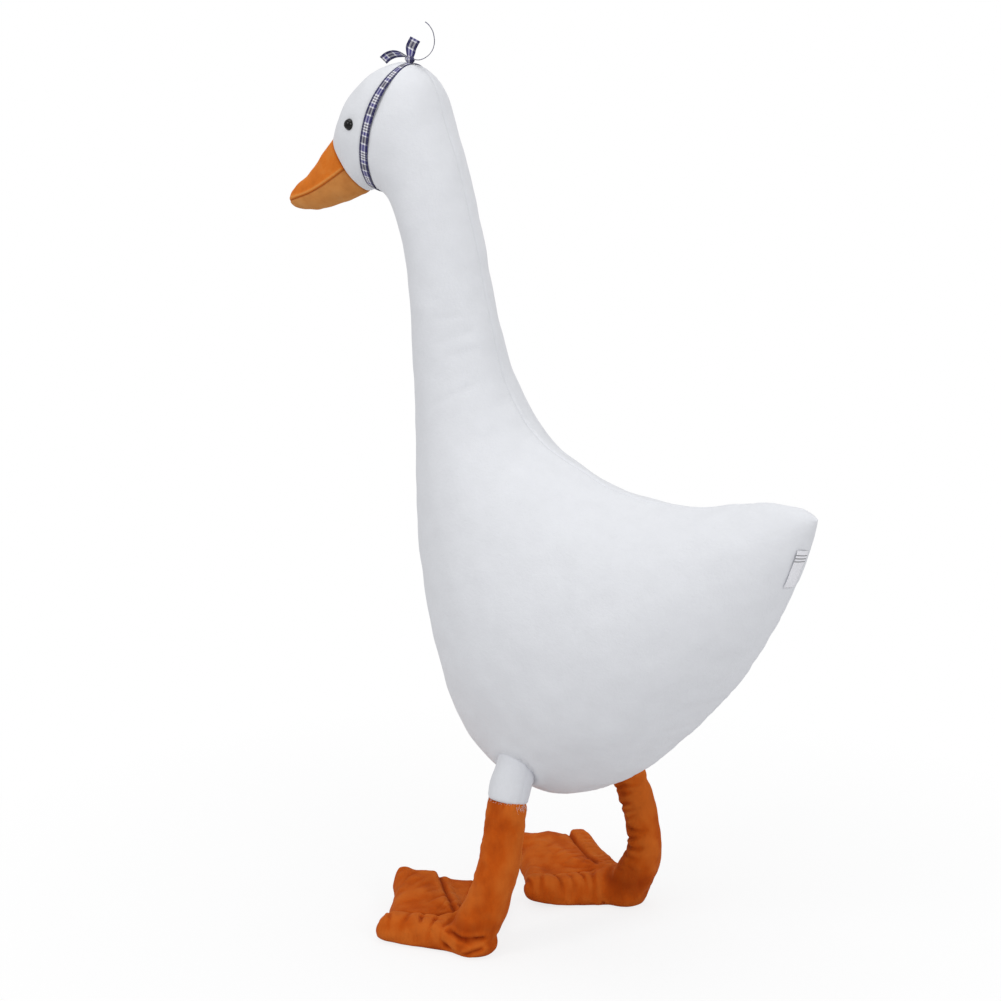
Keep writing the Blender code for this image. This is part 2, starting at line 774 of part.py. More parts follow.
def build_ribbon(parent):
    plaid = material("plaid_ribbon", NAVY, 0.7)
    last = len(BODY_SLICES)
    half = read_between(RIBBON_PATH, RIBBON_STEPS)
    path = [*half, *[(360 - row[0], row[1], row[2]) for row in half[-2:0:-1]]]
    outer = []
    inner = []
    for k, (angle, at, width) in enumerate(path):
        before = path[k - 1]
        after = path[(k + 1) % len(path)]
        ahead = slice_point(body_row(after[1]), after[0])
        ahead = ahead - slice_point(body_row(before[1]), before[0])
        normal = surface_normal(body_row, last, at, angle)
        across = unit(np.cross(normal, unit(ahead)))
        row_out = []
        row_in = []
        for share in (-0.5, 0, 0.5):
            spot = surface_step(body_row, at, angle, across * width * share)
            ground = slice_point(body_row(spot[0]), spot[1])
            out = surface_normal(body_row, last, *spot)
            row_out.append(ground + out * (RIBBON_GAP + RIBBON_THICK))
            row_in.append(ground + out * RIBBON_GAP)
        outer.append(row_out)
        inner.append(row_in)
    outer = np.array(outer)
    inner = np.array(inner)
    # The band as four long faces that close on themselves
    loop = np.stack(
        [outer[:, 0], outer[:, 1], outer[:, 2], inner[:, 2], inner[:, 1], inner[:, 0]], axis=1
    )
    band = grid_object("head_ribbon", *closed_ring(np.concatenate([loop, loop[:1]])), plaid, parent)
    knot = []
    for angle in KNOT_LIFTS:
        lift = math.radians(angle)
        knot.append((math.cos(lift), math.sin(lift)))
    ball = turned(knot, KNOT_SIDES) * np.array(KNOT_RADII) + np.array(KNOT_CENTRE)
    join(band, grid_object("ribbon_knot", *solid_tube(ball), None, parent, True))
    for number, (line, width, size) in enumerate(RIBBON_ENDS):
        points = read_between(line, RIBBON_STEPS)
        directions = np.gradient(points, axis=0)
        wide = unit(np.array(width, float)) * size
        widths = []
        outs = []
        for point_number, along in enumerate(directions):
            grown = RIBBON_GATHER + (1 - RIBBON_GATHER) * min(1.0, point_number / 3)
            out = unit(np.cross(unit(along), unit(wide)))
            widths.append(wide * grown)
            outs.append(out)
        strip = sheet(*ribbon_strip(points, widths, outs), False)
        join(band, grid_object(f"ribbon_end_{number}", *strip, None, parent, True))


def build_leg(side, rows, parent, body_envelope, foot_envelope):
    white = material("thigh_plush_" + side, WHITE, 0.95)
    orange = material("shank_velvet_" + side, ORANGE, 0.85)
    filling = material("leg_filling_" + side, FILLING, 0.9)
    outer = leg_grid(rows, 0.0, LEG_STEPS)
    inner = leg_grid(rows, -SLEEVE_THICK, LEG_STEPS)
    core = leg_grid(rows, -SLEEVE_THICK - GAP, LEG_STEPS)
    seam = THIGH_STEPS * LEG_STEPS
    along = unit(np.array(rows[THIGH_STEPS + 1][:3]) - np.array(rows[THIGH_STEPS - 1][:3]))
    parts = {}
    for name, looks, first, last in (
        ("thigh_", white, 0, seam),
        ("shank_", orange, seam, len(outer) - 1),
    ):
        wall = [outer[first : last + 1].copy(), inner[first : last + 1].copy()]
        for grid in wall:
            if first:
                grid[0] += along * GAP / 2
            else:
                grid[-1] -= along * GAP / 2
        parts[name] = grid_object(name + side, *sheet(*wall, True), looks, parent)
    core_object = grid_object("leg_stuffing_" + side, *solid_tube(core), filling, parent)
    cut(parts["thigh_"], body_envelope)
    cut(core_object, body_envelope)
    cut(parts["shank_"], foot_envelope)
    cut(core_object, foot_envelope)


def build_foot(side, ankle, toes, parent):
    upper = material("foot_velvet_" + side, ORANGE, 0.85)
    sole = material("sole_velvet_" + side, ORANGE, 0.9)
    filling = material("foot_filling_" + side, FILLING, 0.9)
    place = Vector((ankle[0], ankle[1], 0)) * MM
    top, bottom = foot_grids(toes, 0.0)
    top_in, bottom_in = foot_grids(toes, FOOT_THICK)
    core_top, core_bottom = foot_grids(toes, FOOT_THICK + FOOT_CORE_GAP)
    wide_top, wide_bottom = foot_grids(toes, -GAP)
    lift = np.array((0, 0, GAP / 2))
    for grid in (top, top_in):
        grid[-1] += lift
    for grid in (bottom, bottom_in):
        grid[-1] -= lift
    core_top[-1] += lift
    wide_bottom[:, :, 2] -= BELOW_SOLE
    made = [
        grid_object("foot_top_" + side, *sheet(top, top_in, True), upper, parent),
        grid_object("foot_sole_" + side, *sheet(bottom, bottom_in, True), sole, parent),
        grid_object("foot_stuffing_" + side, *sheet(core_top, core_bottom, True), filling, parent),
        grid_object("foot_envelope_" + side, *sheet(wide_top, wide_bottom, True), None, parent, True),
    ]
    for obj in made:
        obj.location = place
    return made[3]


def build_label(parent):
    looks = material("care_label_tape", WHITE, 0.5)
    last = len(BODY_SLICES)
    outer = np.zeros((LABEL_ROWS, LABEL_COLUMNS, 3))
    inner = np.zeros_like(outer)
    first, final = LABEL_SLICES
    for i in range(LABEL_ROWS):
        at = first + (final - first) * i / (LABEL_ROWS - 1)
        angle = LABEL_ANGLE
        seam = slice_point(body_row(at + 0.05), 0) - slice_point(body_row(at - 0.05), 0)
        for j in range(LABEL_COLUMNS):
            ground = slice_point(body_row(at), angle)
            out = surface_normal(body_row, last, at, angle)
            outer[i, j] = ground + out * (LABEL_GAP + LABEL_THICK)
            inner[i, j] = ground + out * LABEL_GAP
            inward = unit(np.cross(unit(seam), out))
            if inward[0] > 0:
                inward = -inward
            move = inward * LABEL_WIDTH / (LABEL_COLUMNS - 1)
            at, angle = surface_step(body_row, at, angle, move)
    grid_object("care_label", *sheet(outer, inner, False), looks, parent)


def settle(parent):
    """Moves everything so that the middle of the overall box is over the origin."""
    bpy.context.view_layer.update()
    corners = [
        obj.matrix_world @ vertex.co
        for obj in bpy.data.objects
        if obj.type == "MESH" and not obj.hide_render
        for vertex in obj.data.vertices
    ]
    low_x = min(c.x for c in corners)
    high_x = max(c.x for c in corners)
    low_y = min(c.y for c in corners)
    high_y = max(c.y for c in corners)
    parent.matrix_world = Matrix.Translation((-(low_x + high_x) / 2, -(low_y + high_y) / 2, 0))


def main():
    clear_scene()
    goose = bpy.data.objects.new("goose", None)
    bpy.context.scene.collection.objects.link(goose)
    torso = bpy.data.objects.new("torso", None)
    bpy.context.scene.collection.objects.link(torso)
    torso.parent = goose
    torso.location = (0, TORSO_SIDE * MM, 0)
    panels, stuffing, body_envelope = build_body(torso)
    build_beak(torso)
    build_eyes(torso, panels, stuffing)
    build_ribbon(torso)
    left_envelope = build_foot("left", LEFT_ANKLE, LEFT_TOES, goose)
    right_envelope = build_foot("right", RIGHT_ANKLE, RIGHT_TOES, goose)
    build_leg("left", LEFT_LEG, goose, body_envelope, left_envelope)
    build_leg("right", RIGHT_LEG, goose, body_envelope, right_envelope)
    build_label(torso)
    settle(goose)


main()
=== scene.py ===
"""Looks of the plush goose: white plush, orange velvet, glossy eyes and a plaid ribbon."""

import math

import bpy
import numpy as np
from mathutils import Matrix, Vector


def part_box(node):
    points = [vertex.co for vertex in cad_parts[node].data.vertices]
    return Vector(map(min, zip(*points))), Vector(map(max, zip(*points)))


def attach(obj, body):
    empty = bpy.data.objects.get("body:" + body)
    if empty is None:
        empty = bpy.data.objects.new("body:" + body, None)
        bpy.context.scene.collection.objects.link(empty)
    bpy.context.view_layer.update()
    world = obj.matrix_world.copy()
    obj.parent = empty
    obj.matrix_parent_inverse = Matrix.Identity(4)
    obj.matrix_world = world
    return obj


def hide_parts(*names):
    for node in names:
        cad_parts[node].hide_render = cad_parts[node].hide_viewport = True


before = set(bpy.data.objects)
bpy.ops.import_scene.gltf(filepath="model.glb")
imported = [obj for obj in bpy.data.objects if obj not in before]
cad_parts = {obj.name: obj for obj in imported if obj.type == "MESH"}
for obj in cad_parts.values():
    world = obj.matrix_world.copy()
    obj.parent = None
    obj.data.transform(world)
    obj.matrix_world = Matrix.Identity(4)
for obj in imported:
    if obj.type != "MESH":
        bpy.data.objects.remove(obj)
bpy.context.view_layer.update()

MM = 0.001

# ---- the same named tables as the part's source, in millimetres ----
BODY_SLICES = (
    (-179.5, 746, -216, 789.5, 20, 1.0),
    (-172.5, 742, -198.5, 815.5, 36.5, 1.0),
    (-161.5, 740, -170.5, 848, 44.5, 1.0),
    (-148.5, 736, -129, 866, 47.5, 1.0),
    (-135, 725, -95, 852, 46.5, 1.0),
    (-123, 703.5, -76.5, 806.5, 44.5, 1.0),
    (-115, 666.5, -60.5, 761, 43.5, 1.0),
    (-110, 615, -42.5, 698.5, 43.5, 1.0),
    (-107, 558.5, -25.5, 626, 46.5, 1.0),
    (-103, 496, -7, 564.5, 54.5, 1.0),
    (-97, 422.5, 17, 521, 70.5, 1.05),
    (-82, 339.5, 41.5, 499, 88.5, 1.1),
    (-59.5, 266, 64.5, 486, 104, 1.12),
    (-33.5, 200.5, 88.5, 475, 112, 1.15),
    (6, 159, 115, 465, 116, 1.15),
    (76.5, 143, 142, 459.5, 114, 1.15),
    (156, 178.5, 174.5, 456.5, 105, 1.18),
    (223, 242, 212.5, 457.5, 85.5, 1.2),
    (281, 313.5, 253, 463.5, 58.5, 1.25),
    (320.5, 388, 294.5, 470, 32.5, 1.25),
    (336.5, 428.5, 323.5, 472, 17, 1.2),
    (344, 454.5, 338.5, 469, 7, 1.1),
)
TAIL_REACH = 5.5
TORSO_SIDE = 16.0
TAIL_FRONT, TAIL_BACK = np.array(BODY_SLICES[-1][:2]), np.array(BODY_SLICES[-1][2:4])
TAIL_ACROSS = (TAIL_FRONT - TAIL_BACK) / np.linalg.norm(TAIL_FRONT - TAIL_BACK)
TAIL_TIP = (TAIL_FRONT + TAIL_BACK) / 2 + TAIL_REACH * np.array((-TAIL_ACROSS[1], TAIL_ACROSS[0]))
BEAK_SLICES = (
    (-188.5, 730, -227, 776.5, 20.5),
    (-207, 723, -241, 759, 20),
    (-227, 717, -253, 748, 18),
    (-247, 713, -263.5, 741, 15),
    (-263.5, 713, -271.5, 734, 11),
    (-273.5, 716, -276.5, 726, 6),
)
BEAK_TIP = (-278, 720)
MOUTH_ANGLE = 90.0
EYE_SLICE = 2.08
EYE_ANGLE = 102.0
# Angle round the head, slice number and width
RIBBON_PATH = (
    (0, 2.35, 10.0), (20, 2.45, 10.0), (38, 2.64, 10.0), (56, 2.76, 10.5), (72, 2.84, 10.5),
    (90, 2.93, 10.5), (106, 3.00, 10.5), (120, 3.07, 10.0), (135, 3.15, 9.0), (150, 3.21, 8.0),
    (165, 3.24, 6.5), (180, 3.25, 6.0),
)
KNOT_CENTRE = (-121, 0, 869.3)
# Each end's middle line, the direction of its width and its width
RIBBON_ENDS = (
    (
        ((-122.1, 0, 871.1), (-130.2, -1, 874.6), (-139.2, -2, 874.6), (-146.3, -3, 872.1),
         (-151.3, -4, 868.1)),
        (3.8, 6.3, -6.8), 10,
    ),
    (
        ((-121.1, 0, 870.1), (-122.1, 2, 875.1), (-122.6, 4, 880.7), (-121.6, 6, 885.2),
         (-120.1, 8.1, 889.3)),
        (8.9, 4.8, -5.2), 11,
    ),
    (
        ((-119.1, 0, 870.1), (-109, 0, 869.6), (-99.9, 0, 873.1), (-93.4, 0, 879.2),
         (-90.8, 0, 887.2), (-92.3, 0, 896.3), (-96.9, 0, 902.9), (-101.9, 0, 906.4)),
        (-5.7, 8.2, 0), 9,
    ),
)
LEFT_LEG = (
    (61.5, -36.5, 244, 21),
    (60.5, -48.5, 211.5, 21),
    (58.5, -59.5, 181.5, 20.5),
    (55.5, -67.5, 154, 20),
    (55, -74, 124, 20.5),
    (53.5, -81, 93.5, 21),
    (47, -88.5, 57.5, 22),
    (40, -94.5, 33, 22),
    (34, -97, 14, 22),
)
RIGHT_LEG = (
    (57.5, 68.5, 244, 20),
    (66.5, 80.5, 211.5, 20),
    (77.5, 90.5, 181.5, 19),
    (87.5, 97.5, 154, 18.5),
    (99.5, 100, 124, 18),
    (108, 99, 95.5, 18),
    (112, 97, 67.5, 19),
    (105, 96.5, 39, 20.5),
    (93, 97, 14, 21.5),
)
THIGH_STEPS = 3
LEFT_ANKLE = (34, -97)
RIGHT_ANKLE = (87, 97)
TOE_TIP_RADIUS = 14.0
TOE_TIP_HEIGHT = 26.0
WEB_REACH = 1.08
HEEL_SHIFT = 4.0
LIFT_START = 0.45
TOE_FOCUS = 12
FOOT_SEAM_Z = 11.0
LABEL_SLICES = (19.15, 20.15)
LABEL_ANGLE = 10.0
LABEL_WIDTH = 13.0
TAPE_REPEATS = 3.0

# The part's source stands the goose over the origin; this is how far it moved the tables.
HALF_SEAM_GAP = 0.15
panel_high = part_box("body_panel_left")[1]
SHIFT = np.array((
    panel_high.x / MM - TAIL_TIP[0], panel_high.y / MM + HALF_SEAM_GAP - TORSO_SIDE, 0.0
))


# ---- curves, surfaces and soft noise ----
def curve(rows, at):
    """Smooth curve through rows of numbers, read at row numbers that may lie between rows."""
    rows = np.asarray(rows, float)
    last = len(rows) - 1
    at = np.clip(np.atleast_1d(np.asarray(at, float)), 0, last)
    i = np.minimum(at.astype(int), last - 1)
    t = (at - i)[:, None]
    wide = np.vstack([2 * rows[0] - rows[1], rows, 2 * rows[-1] - rows[-2]])
    p0, p1, p2, p3 = wide[i], wide[i + 1], wide[i + 2], wide[i + 3]
    bend = 2 * p0 - 5 * p1 + 4 * p2 - p3
    twist = 3 * p1 - p0 - 3 * p2 + p3
    return 0.5 * (2 * p1 + (p2 - p0) * t + bend * t * t + twist * t**3)


def through(rows, count, last=None):
    """That curve read at count row numbers, evenly from the first row to the last."""
    return curve(rows, np.linspace(0, len(rows) - 1 if last is None else last, count))


def ring_points(rows, angles):
    """Points of slices at angles in degrees, 0 at the front or underside and 180 at the back."""
    turn = np.radians(np.asarray(angles, float))[None, :]
    rows = np.asarray(rows, float)
    pinch = rows[:, 5:6] if rows.shape[1] > 5 else np.ones((len(rows), 1))
    reach = (1 + np.cos(turn)) / 2
    sine = np.sin(turn)
    across = np.sign(sine) * np.abs(sine) ** pinch
    x = rows[:, 2:3] + (rows[:, 0:1] - rows[:, 2:3]) * reach
    z = rows[:, 3:4] + (rows[:, 1:2] - rows[:, 3:4]) * reach
    y = TORSO_SIDE - np.maximum(rows[:, 4:5], 0) * across
    return np.stack([x, y + 0 * x, z], axis=2)


# The skin runs on smoothly from the throat under the beak
THROAT_SLICES = ((-174, 736.5, -216, 789.5, 20, 1.0), (-168.5, 739, -198.5, 815.5, 36.5, 1.0))


def body_rows(at):
    tip = (TAIL_TIP[0], TAIL_TIP[1], TAIL_TIP[0], TAIL_TIP[1], 0, 1.0)
    return curve((*THROAT_SLICES, *BODY_SLICES[2:], tip), at)


def beak_rows(at):
    tip = (BEAK_TIP[0], BEAK_TIP[1], BEAK_TIP[0], BEAK_TIP[1], 0)
    return curve((THROAT_SLICES[0][:5], *BEAK_SLICES, tip), at)


def body_point(at, angle):
    return ring_points(body_rows(at), [angle])[0, 0]


SLICE_STEP, ANGLE_STEP = 0.02, 2.0


def body_tangents(at, angle):
    """Changes of the body's surface over a small step of the slice number and of the angle."""
    along = body_point(at + SLICE_STEP, angle) - body_point(at - SLICE_STEP, angle)
    round_it = body_point(at, angle + ANGLE_STEP) - body_point(at, angle - ANGLE_STEP)
    return along, round_it


def body_normal(at, angle):
    along, round_it = body_tangents(at, angle)
    normal = unit(np.cross(round_it, along))
    centre = (body_point(at, 0) + body_point(at, 180)) / 2
    return normal if normal @ (body_point(at, angle) - centre) > 0 else -normal


def body_step(at, angle, move):
    """Slice number and angle after a small move on the body's surface."""
    along, round_it = body_tangents(at, angle)
    steps = np.column_stack((along / (2 * SLICE_STEP), round_it / (2 * ANGLE_STEP)))
    change = np.linalg.lstsq(steps, move, rcond=None)[0]
    return at + change[0], angle + change[1]


def even_rows(rows_at, last, count):
    """Row numbers spaced so that neighbouring rings are about evenly far apart."""
    at = np.linspace(0, last, 3000)
    grid = ring_points(rows_at(at), [0, 90, 180])
    step = np.linalg.norm(np.diff(grid, axis=0), axis=2).max(axis=1)
    far = np.concatenate([[0], np.cumsum(step)])
    return np.interp(np.linspace(0, far[-1], count), far, at)


def smoothed(rows, width):
    """Rows of numbers blurred along their length, ends kept."""
    reach = int(3 * width)
    weight = np.exp(-0.5 * (np.arange(-reach, reach + 1) / width) ** 2)
    weight /= weight.sum()
    head = 2 * rows[0] - rows[reach:0:-1]
    tail = 2 * rows[-1] - rows[-2 : -reach - 2 : -1]
    wide = np.vstack([head, rows, tail])
    blurred = [np.convolve(column, weight, "valid") for column in wide.T]
    return np.stack(blurred, axis=1)


def grid_normals(grid):
    """Outward normals of rings of points."""
    around = np.roll(grid, -1, axis=1) - np.roll(grid, 1, axis=1)
    normal = np.cross(around, np.gradient(grid, axis=0))
    normal = normal / np.maximum(np.linalg.norm(normal, axis=2, keepdims=True), 1e-9)
    facing = (normal * (grid - grid.mean(axis=1, keepdims=True))).sum(axis=2)
    return normal if facing.sum() > 0 else -normal


def lumps(points, wavelength, seed, waves=14):
    """Soft lumpy field from -1 to 1 at points, with lumps of about this wavelength."""
    random = np.random.default_rng(seed)
    total = np.zeros(points.shape[:-1])
    for _ in range(waves):
        direction = random.normal(size=3)
        direction /= np.linalg.norm(direction)
        number = 2 * np.pi / (wavelength * random.uniform(0.7, 1.5))
        total += np.sin((points @ direction) * number + random.uniform(0, 2 * np.pi))
    return total / math.sqrt(waves)


def ripple(along, wavelength, seed, waves=6):
    """Uneven waves from -1 to 1 along a line."""
    random = np.random.default_rng(seed)
    total = np.zeros_like(along, dtype=float)
    for _ in range(waves):
        number = 2 * np.pi / (wavelength * random.uniform(0.65, 1.6))
        total += np.sin(along * number + random.uniform(0, 2 * np.pi))
    return np.clip(total / math.sqrt(waves) / 1.2, -1, 1)


def clamp(value):
    return np.clip(value, 0, 1)


def unit(vectors):
    return vectors / np.linalg.norm(vectors, axis=-1, keepdims=True)


def bell(distance, width):
    return np.exp(-((distance / width) ** 2))


# The creases were read off the photo before the part's source moved and scaled the torso
TORSO_SCALE = 1.00833
TORSO_MOVE = (-11.18, TORSO_SIDE, -8.16)


def on_torso(point):
    return np.array(point, float) * TORSO_SCALE + TORSO_MOVE


def folds(points, lines):
    """Depth of creases given by two end points, a depth and a width, with a swell beside each."""
    total = np.zeros(points.shape[:-1])
    for start, end, depth, width in lines:
        start, end = on_torso(start), on_torso(end)
        span = end - start
        share = clamp(((points - start) @ span) / (span @ span))
        away = np.linalg.norm(points - start - share[..., None] * span, axis=-1) / width
        taper = 0.35 + 0.65 * np.sin(np.pi * np.clip(share, 0.02, 0.98)) ** 0.7
        total -= depth * taper * (1 - 0.7 * away**2) * np.exp(-(away**2))
    return total


# ---- meshes ----
def finish_piece(obj, materials, replaced):
    for looks in materials:
        obj.data.materials.append(looks)
    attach(obj, "root")
    if replaced:
        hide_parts(*replaced)


def placed(name, data):
    obj = bpy.data.objects.new(name, data)
    bpy.context.scene.collection.objects.link(obj)
    return obj


def keep_painted_shading(mesh, painted_shading):
    """Stores the painted shading of each point: painted shade where it is above 0, a painted
    highlight where it is below. The materials read it.
    """
    layer = mesh.attributes.new("painted_shading", "FLOAT", "POINT")
    layer.data.foreach_set("value", np.asarray(painted_shading, np.float32))


def mesh_from(name, verts, faces, painted_shading=None, uv=None, chosen=None):
    """Mesh object from points in table millimetres, with shading data kept as attributes."""
    mesh = bpy.data.meshes.new(name)
    points = (np.asarray(verts, float) + SHIFT) * MM
    mesh.from_pydata(points.tolist(), [], [tuple(int(i) for i in f) for f in faces])
    mesh.shade_smooth()
    if painted_shading is not None:
        keep_painted_shading(mesh, painted_shading)
    if uv is not None:
        layer = mesh.uv_layers.new(name="Weave")
        index = np.zeros(len(mesh.loops), np.int32)
        mesh.loops.foreach_get("vertex_index", index)
        layer.data.foreach_set("uv", np.asarray(uv, np.float32)[index].ravel())
    if chosen is not None:
        mesh.polygons.foreach_set("material_index", np.asarray(chosen, np.int32))
    mesh.update()
    return placed(name, mesh)


def ring_quads(rows, columns):
    """Quads between rings of points."""
    i, j = np.meshgrid(np.arange(rows - 1), np.arange(columns), indexing="ij")
    k = (j + 1) % columns
    quads = (i * columns + j, (i + 1) * columns + j, (i + 1) * columns + k, i * columns + k)
    return [tuple(q) for q in np.stack(quads, -1).reshape(-1, 4)]


def tube_faces(rows, columns):
    """Those quads, and each end closed to one more point."""
    faces = ring_quads(rows, columns)
    first, last = rows * columns, rows * columns + 1
    for c in range(columns):
        d = (c + 1) % columns
        faces += [(first, c, d), (last, (rows - 1) * columns + d, (rows - 1) * columns + c)]
    return faces


def outward(verts, faces):
    """The faces turned so that they face out of the closed shape."""
    verts = np.asarray(verts, float)
    corners = np.array([f[:3] for f in faces])
    others = np.array([(f[0], *f[2:4]) for f in faces if len(f) == 4])
    total = 0.0
    for made in (corners, others):
        a, b, c = (verts[made[:, n]] for n in range(3))
        total += (a * np.cross(b, c)).sum()
    return [f[::-1] for f in faces] if total < 0 else faces


def closed_tubes(grids):
    """Points and faces of rings of points as closed tubes that face out."""
    verts, faces, count = [], [], 0
    for grid in grids:
        own = np.vstack([grid.reshape(-1, 3), grid[0].mean(axis=0), grid[-1].mean(axis=0)])
        turned = outward(own, tube_faces(*grid.shape[:2]))
        faces += [tuple(i + count for i in face) for face in turned]
        verts.append(own)
        count += len(own)
    return np.vstack(verts), faces


def tube_object(name, grid, painted_shading=None, chosen=None, uv=None):
    """Closed soft tube from rings of points."""
    verts, faces = closed_tubes([grid])
    if painted_shading is not None:
        painted_shading = np.concatenate([painted_shading.ravel(), [0, 0]])
    if uv is not None:
        uv = np.vstack([uv.reshape(-1, 2), uv[0, 0], uv[-1, 0]])
    if chosen is not None:
        chosen = np.concatenate([chosen.ravel(), np.zeros(2 * grid.shape[1], int)])
    return mesh_from(name, verts, faces, painted_shading, uv, chosen)


def weave_places(across, along):
    """Weave coordinates of rings of points: across round each ring, along from ring to ring."""
    return np.dstack(np.broadcast_arrays(across[None, :], along[:, None]))


# ---- materials ----
class Nodes:
    """A node tree, with short ways to add nodes and to link them."""

    def __init__(self, tree):
        self.tree = tree

    def fill(self, node, inputs):
        """Gives a node's inputs a number, a colour, or the output of another node."""
        for key, value in inputs.items():
            socket = node.inputs[key]
            if isinstance(value, bpy.types.NodeSocket):
                self.tree.links.new(value, socket)
            elif isinstance(value, tuple):
                socket.default_value = (*value, 1.0)[: len(socket.default_value)]
            else:
                socket.default_value = value

    def add(self, kind, inputs, **settings):
        """Adds a shader node with these inputs and settings."""
        node = self.tree.nodes.new("ShaderNode" + kind)
        for name, value in settings.items():
            setattr(node, name, value)
        self.fill(node, inputs)
        return node

    def noise(self, place, scale, detail, rough=0.6):
        inputs = {"Vector": place, "Scale": scale, "Detail": detail, "Roughness": rough}
        return self.add("TexNoise", inputs).outputs["Fac"]

    def math(self, kind, *values, clamped=False):
        node = self.add("Math", dict(enumerate(values)), operation=kind, use_clamp=clamped)
        return node.outputs[0]

    def ramp(self, factor, stops, smooth=True):
        """Colour that follows a factor through stops, or in steps if it isn't smooth."""
        node = self.add("ValToRGB", {"Fac": factor})
        bar = node.color_ramp
        bar.interpolation = "LINEAR" if smooth else "CONSTANT"
        while len(bar.elements) < len(stops):
            bar.elements.new(0.5)
        for element, (place, colour) in zip(bar.elements, stops):
            element.position = place
            element.color = (*colour, 1.0)
        return node.outputs["Color"]

    def mix(self, factor, a, b, blend="MIX"):
        inputs = {0: factor, 6: a, 7: b}
        node = self.add("Mix", inputs, data_type="RGBA", blend_type=blend, clamp_factor=True)
        return node.outputs[2]

    def bumps(self, *layers):
        """Normals roughened by heights, each with a strength and a distance."""
        below = {}
        for height, strength, distance in layers:
            inputs = {"Height": height, "Strength": strength, "Distance": distance, **below}
            below = {"Normal": self.add("Bump", inputs).outputs["Normal"]}
        return below["Normal"]

    def place(self, stretch=None):
        """Position on the object, stretched if asked."""
        place = self.add("TexCoord", {}).outputs["Object"]
        if stretch is None:
            return place
        return self.add("Mapping", {"Vector": place, "Scale": stretch}).outputs["Vector"]

    def weave(self):
        """Weave coordinates, and their parts across and along the cloth."""
        both = self.add("UVMap", {}, uv_map="Weave").outputs["UV"]
        parts = self.add("SeparateXYZ", {0: both})
        return both, parts.outputs[0], parts.outputs[1]

    def painted_shading(self):
        """The painted shading kept in the mesh: painted shade above 0, a painted highlight below 0.
        """
        return self.add("Attribute", {}, attribute_name="painted_shading").outputs["Fac"]


def new_material(name):
    made = bpy.data.materials.new(name)
    made.use_nodes = True
    return made, Nodes(made.node_tree), made.node_tree.nodes["Principled BSDF"]


def grey(value):
    return (value, value, value)


def darker(colour, share):
    return tuple(c * share for c in colour)


def plush_material(name, colour, deep):
    """Short white pile: fine fibre grain and soft nap patches, with painted shade in creases, seams
    and where parts meet.
    """
    made, nodes, shader = new_material(name)
    place = nodes.place()
    pile, tuft = nodes.noise(place, 1500, 2.0), nodes.noise(place, 420, 3.0)
    clump, nap = nodes.noise(place, 200, 3.0), nodes.noise(place, 60, 4.0)
    tint = nodes.ramp(nap, ((0.3, darker(colour, 0.965)), (0.7, colour)))
    tint = nodes.mix(nodes.math("MULTIPLY", tuft, 0.10), tint, deep)
    # Painted shade: the pile is tinted toward the deep colour where the mesh's painted shading is
    # high
    painted_shading = nodes.math("MULTIPLY", nodes.painted_shading(), 0.55, clamped=True)
    nodes.fill(shader, {
        "Base Color": nodes.mix(painted_shading, tint, deep),
        "Roughness": nodes.ramp(tuft, ((0.2, grey(0.86)), (0.8, grey(1.0)))),
        "Specular IOR Level": 0.12,
        "Sheen Weight": 0.18,
        "Sheen Roughness": 0.6,
        "Normal": nodes.bumps(
            (nap, 0.25, 0.0012), (clump, 0.30, 0.0009), (tuft, 0.36, 0.0006), (pile, 0.35, 0.0003)
        ),
    })
    return made


def velvet_material(name, colour, pale, dark, stretch=(1, 1, 1)):
    """Velvet: nap in paler and darker streaks, with painted shade in folds and seams and a painted
    highlight on ridges and bulges.
    """
    made, nodes, shader = new_material(name)
    place, streaked = nodes.place(), nodes.place(stretch)
    pile, broad = nodes.noise(place, 1600, 2.0), nodes.noise(place, 16, 2.0, 0.5)
    grain, nap = nodes.noise(streaked, 260, 4.0, 0.65), nodes.noise(streaked, 48, 4.0)
    tint = nodes.ramp(nap, ((0.26, dark), (0.48, colour), (0.74, pale)))
    soft = nodes.ramp(broad, ((0.35, darker(colour, 0.86)), (0.65, colour)))
    tint = nodes.mix(0.5, tint, soft)
    tint = nodes.mix(nodes.math("MULTIPLY", grain, 0.25), tint, pale)
    # Painted shade toward the dark colour in folds and seams, and a painted highlight toward the
    # pale colour on ridges and bulges, from the painted shading kept in the mesh
    painted_shading = nodes.painted_shading()
    tint = nodes.mix(nodes.math("MULTIPLY", painted_shading, 0.8, clamped=True), tint, dark)
    painted_ridge_highlight = nodes.math("MULTIPLY", painted_shading, -1.3, clamped=True)
    nodes.fill(shader, {
        "Base Color": nodes.mix(painted_ridge_highlight, tint, pale),
        "Roughness": nodes.ramp(grain, ((0.2, grey(0.78)), (0.8, grey(0.95)))),
        "Specular IOR Level": 0.06,
        "Sheen Weight": 0.19,
        "Sheen Roughness": 0.3,
        "Sheen Tint": (1.0, 0.50, 0.18),
        "Normal": nodes.bumps((nap, 0.22, 0.0012), (grain, 0.30, 0.0006), (pile, 0.35, 0.0003)),
    })
    return made


